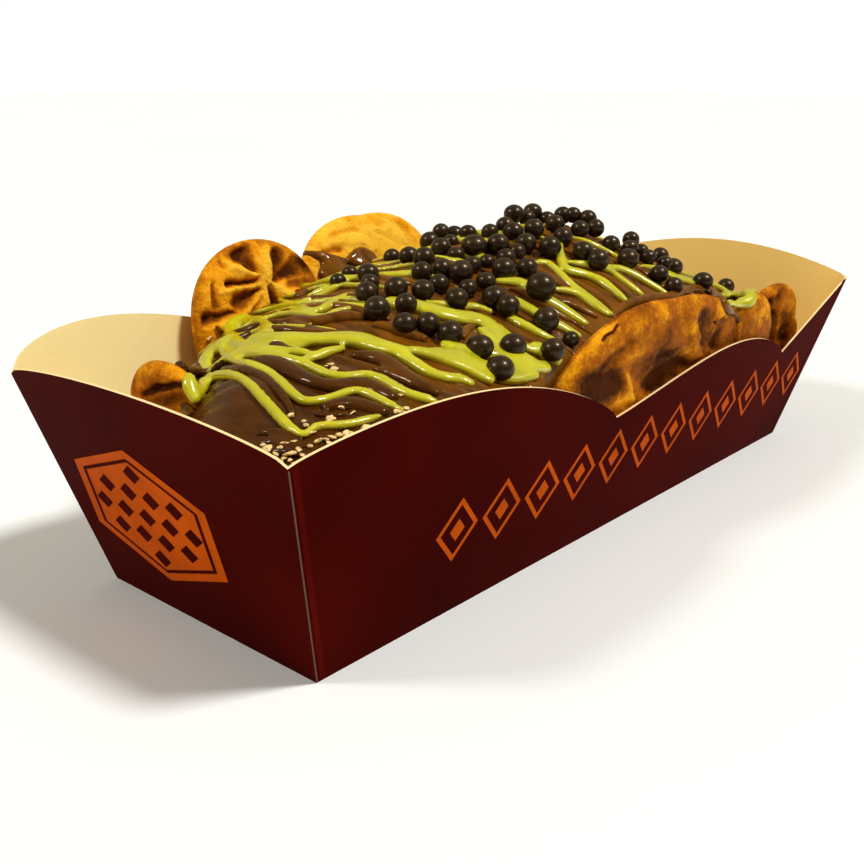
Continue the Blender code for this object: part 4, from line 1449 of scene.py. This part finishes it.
class WaffleSettings(bpy.types.PropertyGroup):
    """Waffle pieces."""
    pocket_depth: bpy.props.FloatProperty(
        name="Pockets", description="Depth of the pockets", default=2.8 * MM, unit="LENGTH", precision=5)
    pale: bpy.props.FloatVectorProperty(
        name="Pale", description="Least baked batter", default=(1.0, 0.58, 0.05), subtype="COLOR")
    golden: bpy.props.FloatVectorProperty(
        name="Golden", description="Golden batter", default=(0.82, 0.345, 0.008), subtype="COLOR")
    browned: bpy.props.FloatVectorProperty(
        name="Browned", description="Browned batter", default=(0.38, 0.112, 0.004), subtype="COLOR")
    dark: bpy.props.FloatVectorProperty(
        name="Dark", description="Darkest pockets", default=(0.058, 0.013, 0.002), subtype="COLOR")


class ToppingSettings(bpy.types.PropertyGroup):
    """Chocolate, sauce, balls and crumbs."""
    chocolate: bpy.props.FloatVectorProperty(
        name="Chocolate", description="Chocolate spread", default=(0.152, 0.054, 0.0022), subtype="COLOR")
    chocolate_dark: bpy.props.FloatVectorProperty(
        name="Dark chocolate", description="Deeper streaks", default=(0.062, 0.019, 0.0022), subtype="COLOR")
    sauce: bpy.props.FloatVectorProperty(
        name="Sauce", description="Green sauce", default=(0.50, 0.50, 0.007), subtype="COLOR")
    # Sauce low on each run, near the food: partly thin over chocolate, partly a painted shade copy of the
    # sauce
    sauce_thin_and_shade: bpy.props.FloatVectorProperty(
        name="Thin sauce", description="Sauce over chocolate", default=(0.34, 0.26, 0.007), subtype="COLOR")
    ball_colour: bpy.props.FloatVectorProperty(
        name="Balls", description="Dark chocolate balls", default=(0.016, 0.0085, 0.0035), subtype="COLOR")
    nut_colour: bpy.props.FloatVectorProperty(
        name="Nuts", description="Chopped nuts", default=(0.78, 0.58, 0.28), subtype="COLOR")
    ball_radius: bpy.props.FloatProperty(
        name="Ball radius", description="Usual ball radius", default=3.3 * MM, unit="LENGTH", precision=5)
    ball_count: bpy.props.IntProperty(
        name="Balls", description="Most balls laid, those that the photograph shows first", default=101)
    run_cell: bpy.props.FloatProperty(
        name="Run cell", description="Mesh size of the chocolate runs and the sauce", default=0.65 * MM,
        unit="LENGTH", precision=5)


class StageSettings(bpy.types.PropertyGroup):
    """Floor, lights and background."""
    floor_colour: bpy.props.FloatVectorProperty(
        name="Floor", description="Pale floor", default=(0.80, 0.87, 0.99), subtype="COLOR")
    light_colour: bpy.props.FloatVectorProperty(
        name="Lamps", description="Warm studio lamps", default=(1.0, 0.93, 0.8), subtype="COLOR")
    left_power: bpy.props.FloatProperty(
        name="Left lamp", description="Strength of the left lamp", default=1.2)
    right_power: bpy.props.FloatProperty(
        name="Right lamp", description="Strength of the right lamp", default=2.9)
    sky_strength: bpy.props.FloatProperty(
        name="Surroundings", description="Strength of the white surroundings", default=0.42)


# Operators

class WAFFLETRAY_OT_card(bpy.types.Operator):
    """Make the folded card of the tray."""
    bl_idname = "waffletray.card"
    bl_label = "Card"

    def execute(self, context):
        settings = context.scene.waffle_tray_card
        materials = [print_material(settings.print_colour),
                     inside_material(settings.inside_near_lit_colour, settings.inside_far_shade_colour),
                     cut_edge_material(settings.edge_colour)]
        card = build_card(settings, materials)
        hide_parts("tray")
        flaps = build_flaps(settings, materials[1:])
        # A lighter copy of the print for the fold beside each seam: a painted sheen
        fold_sheen = print_material(shade(settings.print_colour, FOLD_SHEEN_LIFT), "card_print_sheen")
        # The seam's cut edge gets its painted shade colour
        seams = build_seams([cut_edge_material(settings.seam_shade_colour), fold_sheen])
        for piece, slot in ((card, "card_print"), (flaps, "card_inside"), (seams, "card_print")):
            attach(piece, "root")
        return {"FINISHED"}


class WAFFLETRAY_OT_print(bpy.types.Operator):
    """Make the orange print on the walls."""
    bl_idname = "waffletray.print"
    bl_label = "Print"

    def execute(self, context):
        settings = context.scene.waffle_tray_card
        figures = build_print([ink_material(settings.ink_colour), print_material(settings.print_colour)])
        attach(figures, "root")
        return {"FINISHED"}


class WAFFLETRAY_OT_waffle(bpy.types.Operator):
    """Make the pieces of waffle."""
    bl_idname = "waffletray.waffle"
    bl_label = "Waffle"

    def execute(self, context):
        settings = context.scene.waffle_tray_waffle
        batter = waffle_material(settings.pale, settings.golden, settings.browned, settings.dark)
        for node, specs in WAFFLE_LOBES.items():
            forms = [lobe_form(spec, settings.pocket_depth / MM) for spec in specs]
            piece = placed(f"{node}_baked", merged(forms), [batter])
            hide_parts(node)
            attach(piece, "root")
        return {"FINISHED"}


class WAFFLETRAY_OT_chocolate(bpy.types.Operator):
    """Make the chocolate spread and its runs."""
    bl_idname = "waffletray.chocolate"
    bl_label = "Chocolate"

    def execute(self, context):
        settings = context.scene.waffle_tray_topping
        soft = chocolate_material("spread", settings.chocolate, settings.chocolate_dark, SPREAD_GLOSS)
        spread = placed("chocolate_spread", mound_form(MOUND_COLUMNS, MOUND_ROWS), [soft])
        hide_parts("topping")
        lines = seen_lines(CHOCOLATE_SEEN, CHOCOLATE_LIFT, seed=3)
        lines += drawn_lines(seed=21, pitch=9.0, span=(-96, 96), near_share=0.3, radius=1.5,
                             lift=CHOCOLATE_LIFT)
        lines += drawn_lines(seed=23, pitch=5.0, span=(-45, 100), near_share=1.15, radius=0.95, lift=0.0)
        glossy = chocolate_material("runs", settings.chocolate, settings.chocolate_dark, RUNS_GLOSS)
        tubes = tube_mesh("runs", lines)
        drizzle = melted("chocolate_runs", tubes, settings.run_cell, CHOCOLATE_HEIGHT, [glossy])
        for piece in (spread, drizzle):
            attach(piece, "root")
        return {"FINISHED"}


class WAFFLETRAY_OT_sauce(bpy.types.Operator):
    """Make the green sauce."""
    bl_idname = "waffletray.sauce"
    bl_label = "Sauce"

    def execute(self, context):
        settings = context.scene.waffle_tray_topping
        lines = seen_lines(SAUCE_SEEN, SAUCE_LIFT, seed=4)
        lines += drawn_lines(seed=11, pitch=8.5, span=(-98, 98), near_share=0.25, radius=1.35,
                             lift=SAUCE_LIFT)
        green = sauce_material(settings.sauce, settings.sauce_thin_and_shade)
        sauce = melted("green_sauce", tube_mesh("sauce", lines), settings.run_cell, SAUCE_HEIGHT, [green])
        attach(sauce, "root")
        return {"FINISHED"}


class WAFFLETRAY_OT_balls(bpy.types.Operator):
    """Make the chocolate balls."""
    bl_idname = "waffletray.balls"
    bl_label = "Balls"

    def execute(self, context):
        settings = context.scene.waffle_tray_topping
        balls = build_balls(settings, [ball_material(settings.ball_colour)])
        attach(balls, "root")
        return {"FINISHED"}


class WAFFLETRAY_OT_nuts(bpy.types.Operator):
    """Make the chopped nuts."""
    bl_idname = "waffletray.nuts"
    bl_label = "Nuts"

    def execute(self, context):
        settings = context.scene.waffle_tray_topping
        nuts = build_nuts([nut_material(settings.nut_colour)])
        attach(nuts, "root")
        return {"FINISHED"}


def add_lamp(name, direction, strength, colour):
    """A far, soft-edged lamp that shines from a direction."""
    data = bpy.data.lights.new(name, "SUN")
    data.angle = LAMP_ANGLE
    data.energy = strength
    data.color = colour
    lamp = bpy.data.objects.new(name, data)
    place = Vector(direction).normalized()
    lamp.matrix_world = Matrix.LocRotScale(place, place.to_track_quat("Z", "Y"), None)
    bpy.context.scene.collection.objects.link(lamp)


def build_world(strength):
    """White surroundings that are dim towards the viewer's side, and plain white as a background."""
    world = bpy.data.worlds.new("studio")
    world.use_nodes = True
    tree = world.node_tree
    tree.nodes.clear()
    output = tree.nodes.new("ShaderNodeOutputWorld")
    coords = tree.nodes.new("ShaderNodeTexCoord")
    toward = tree.nodes.new("ShaderNodeVectorMath")
    toward.operation = "DOT_PRODUCT"
    toward.inputs[1].default_value = SKY_DIM_SIDE
    tree.links.new(coords.outputs["Generated"], toward.inputs[0])
    sky = add_ramp(tree, toward.outputs["Value"], (0.0, SKY_BRIGHT), (0.75, SKY_DIM))
    around = add_node(tree, "ShaderNodeBackground", Color=sky, Strength=strength)
    behind = add_node(tree, "ShaderNodeBackground", Color=WHITE)
    path = tree.nodes.new("ShaderNodeLightPath")
    mix = tree.nodes.new("ShaderNodeMixShader")
    tree.links.new(path.outputs["Is Camera Ray"], mix.inputs["Fac"])
    tree.links.new(around.outputs["Background"], mix.inputs[1])
    tree.links.new(behind.outputs["Background"], mix.inputs[2])
    tree.links.new(mix.outputs["Shader"], output.inputs["Surface"])
    bpy.context.scene.world = world


def build_camera():
    """The photograph's camera."""
    data = bpy.data.cameras.new("photo_camera")
    data.sensor_width = SENSOR
    data.lens = CAMERA_FOCUS * SENSOR / PHOTO_SIZE
    data.clip_start = CLIP_START
    camera = bpy.data.objects.new("photo_camera", data)
    forward, right, up = camera_axes()
    turn = Matrix((right, up, -forward)).transposed().to_4x4()
    camera.matrix_world = Matrix.Translation((CAMERA_PLACE + TRAY_CENTRE) * MM) @ turn
    bpy.context.scene.collection.objects.link(camera)
    bpy.context.scene.camera = camera


class WAFFLETRAY_OT_stage(bpy.types.Operator):
    """Make the floor, lamps, surroundings and camera."""
    bl_idname = "waffletray.stage"
    bl_label = "Stage"

    def execute(self, context):
        settings = context.scene.waffle_tray_stage
        bm = bmesh.new()
        bmesh.ops.create_grid(bm, x_segments=2, y_segments=2, size=FLOOR_REACH)
        floor = placed("studio_floor", bm, [floor_material(settings.floor_colour)])
        add_lamp("left_lamp", LEFT_LAMP_PLACE, settings.left_power, settings.light_colour)
        add_lamp("right_lamp", RIGHT_LAMP_PLACE, settings.right_power, settings.light_colour)
        build_world(settings.sky_strength)
        build_camera()
        context.scene.view_settings.view_transform = "Standard"
        return {"FINISHED"}


class WAFFLETRAY_PT_panel(bpy.types.Panel):
    """Buttons for the waffle tray's pieces."""
    bl_idname = "WAFFLETRAY_PT_panel"
    bl_label = "Waffle Tray"
    bl_space_type = "VIEW_3D"
    bl_region_type = "UI"
    bl_category = "Waffle"

    def draw(self, context):
        for step in STEPS:
            self.layout.operator(step.bl_idname)


STEPS = (WAFFLETRAY_OT_card, WAFFLETRAY_OT_print, WAFFLETRAY_OT_waffle, WAFFLETRAY_OT_chocolate,
         WAFFLETRAY_OT_sauce, WAFFLETRAY_OT_balls, WAFFLETRAY_OT_nuts, WAFFLETRAY_OT_stage)
SETTINGS = {"waffle_tray_card": TraySettings, "waffle_tray_waffle": WaffleSettings,
            "waffle_tray_topping": ToppingSettings, "waffle_tray_stage": StageSettings}


def register():
    for group in SETTINGS.values():
        bpy.utils.register_class(group)
    for step in STEPS:
        bpy.utils.register_class(step)
    bpy.utils.register_class(WAFFLETRAY_PT_panel)
    for name, group in SETTINGS.items():
        setattr(bpy.types.Scene, name, bpy.props.PointerProperty(type=group))


def unregister():
    for name in SETTINGS:
        delattr(bpy.types.Scene, name)
    bpy.utils.unregister_class(WAFFLETRAY_PT_panel)
    for step in reversed(STEPS):
        bpy.utils.unregister_class(step)
    for group in SETTINGS.values():
        bpy.utils.unregister_class(group)


def main():
    register()
    bpy.ops.waffletray.card()
    bpy.ops.waffletray.print()
    bpy.ops.waffletray.waffle()
    bpy.ops.waffletray.chocolate()
    bpy.ops.waffletray.sauce()
    bpy.ops.waffletray.balls()
    bpy.ops.waffletray.nuts()
    bpy.ops.waffletray.stage()


if __name__ == "__main__":
    main()
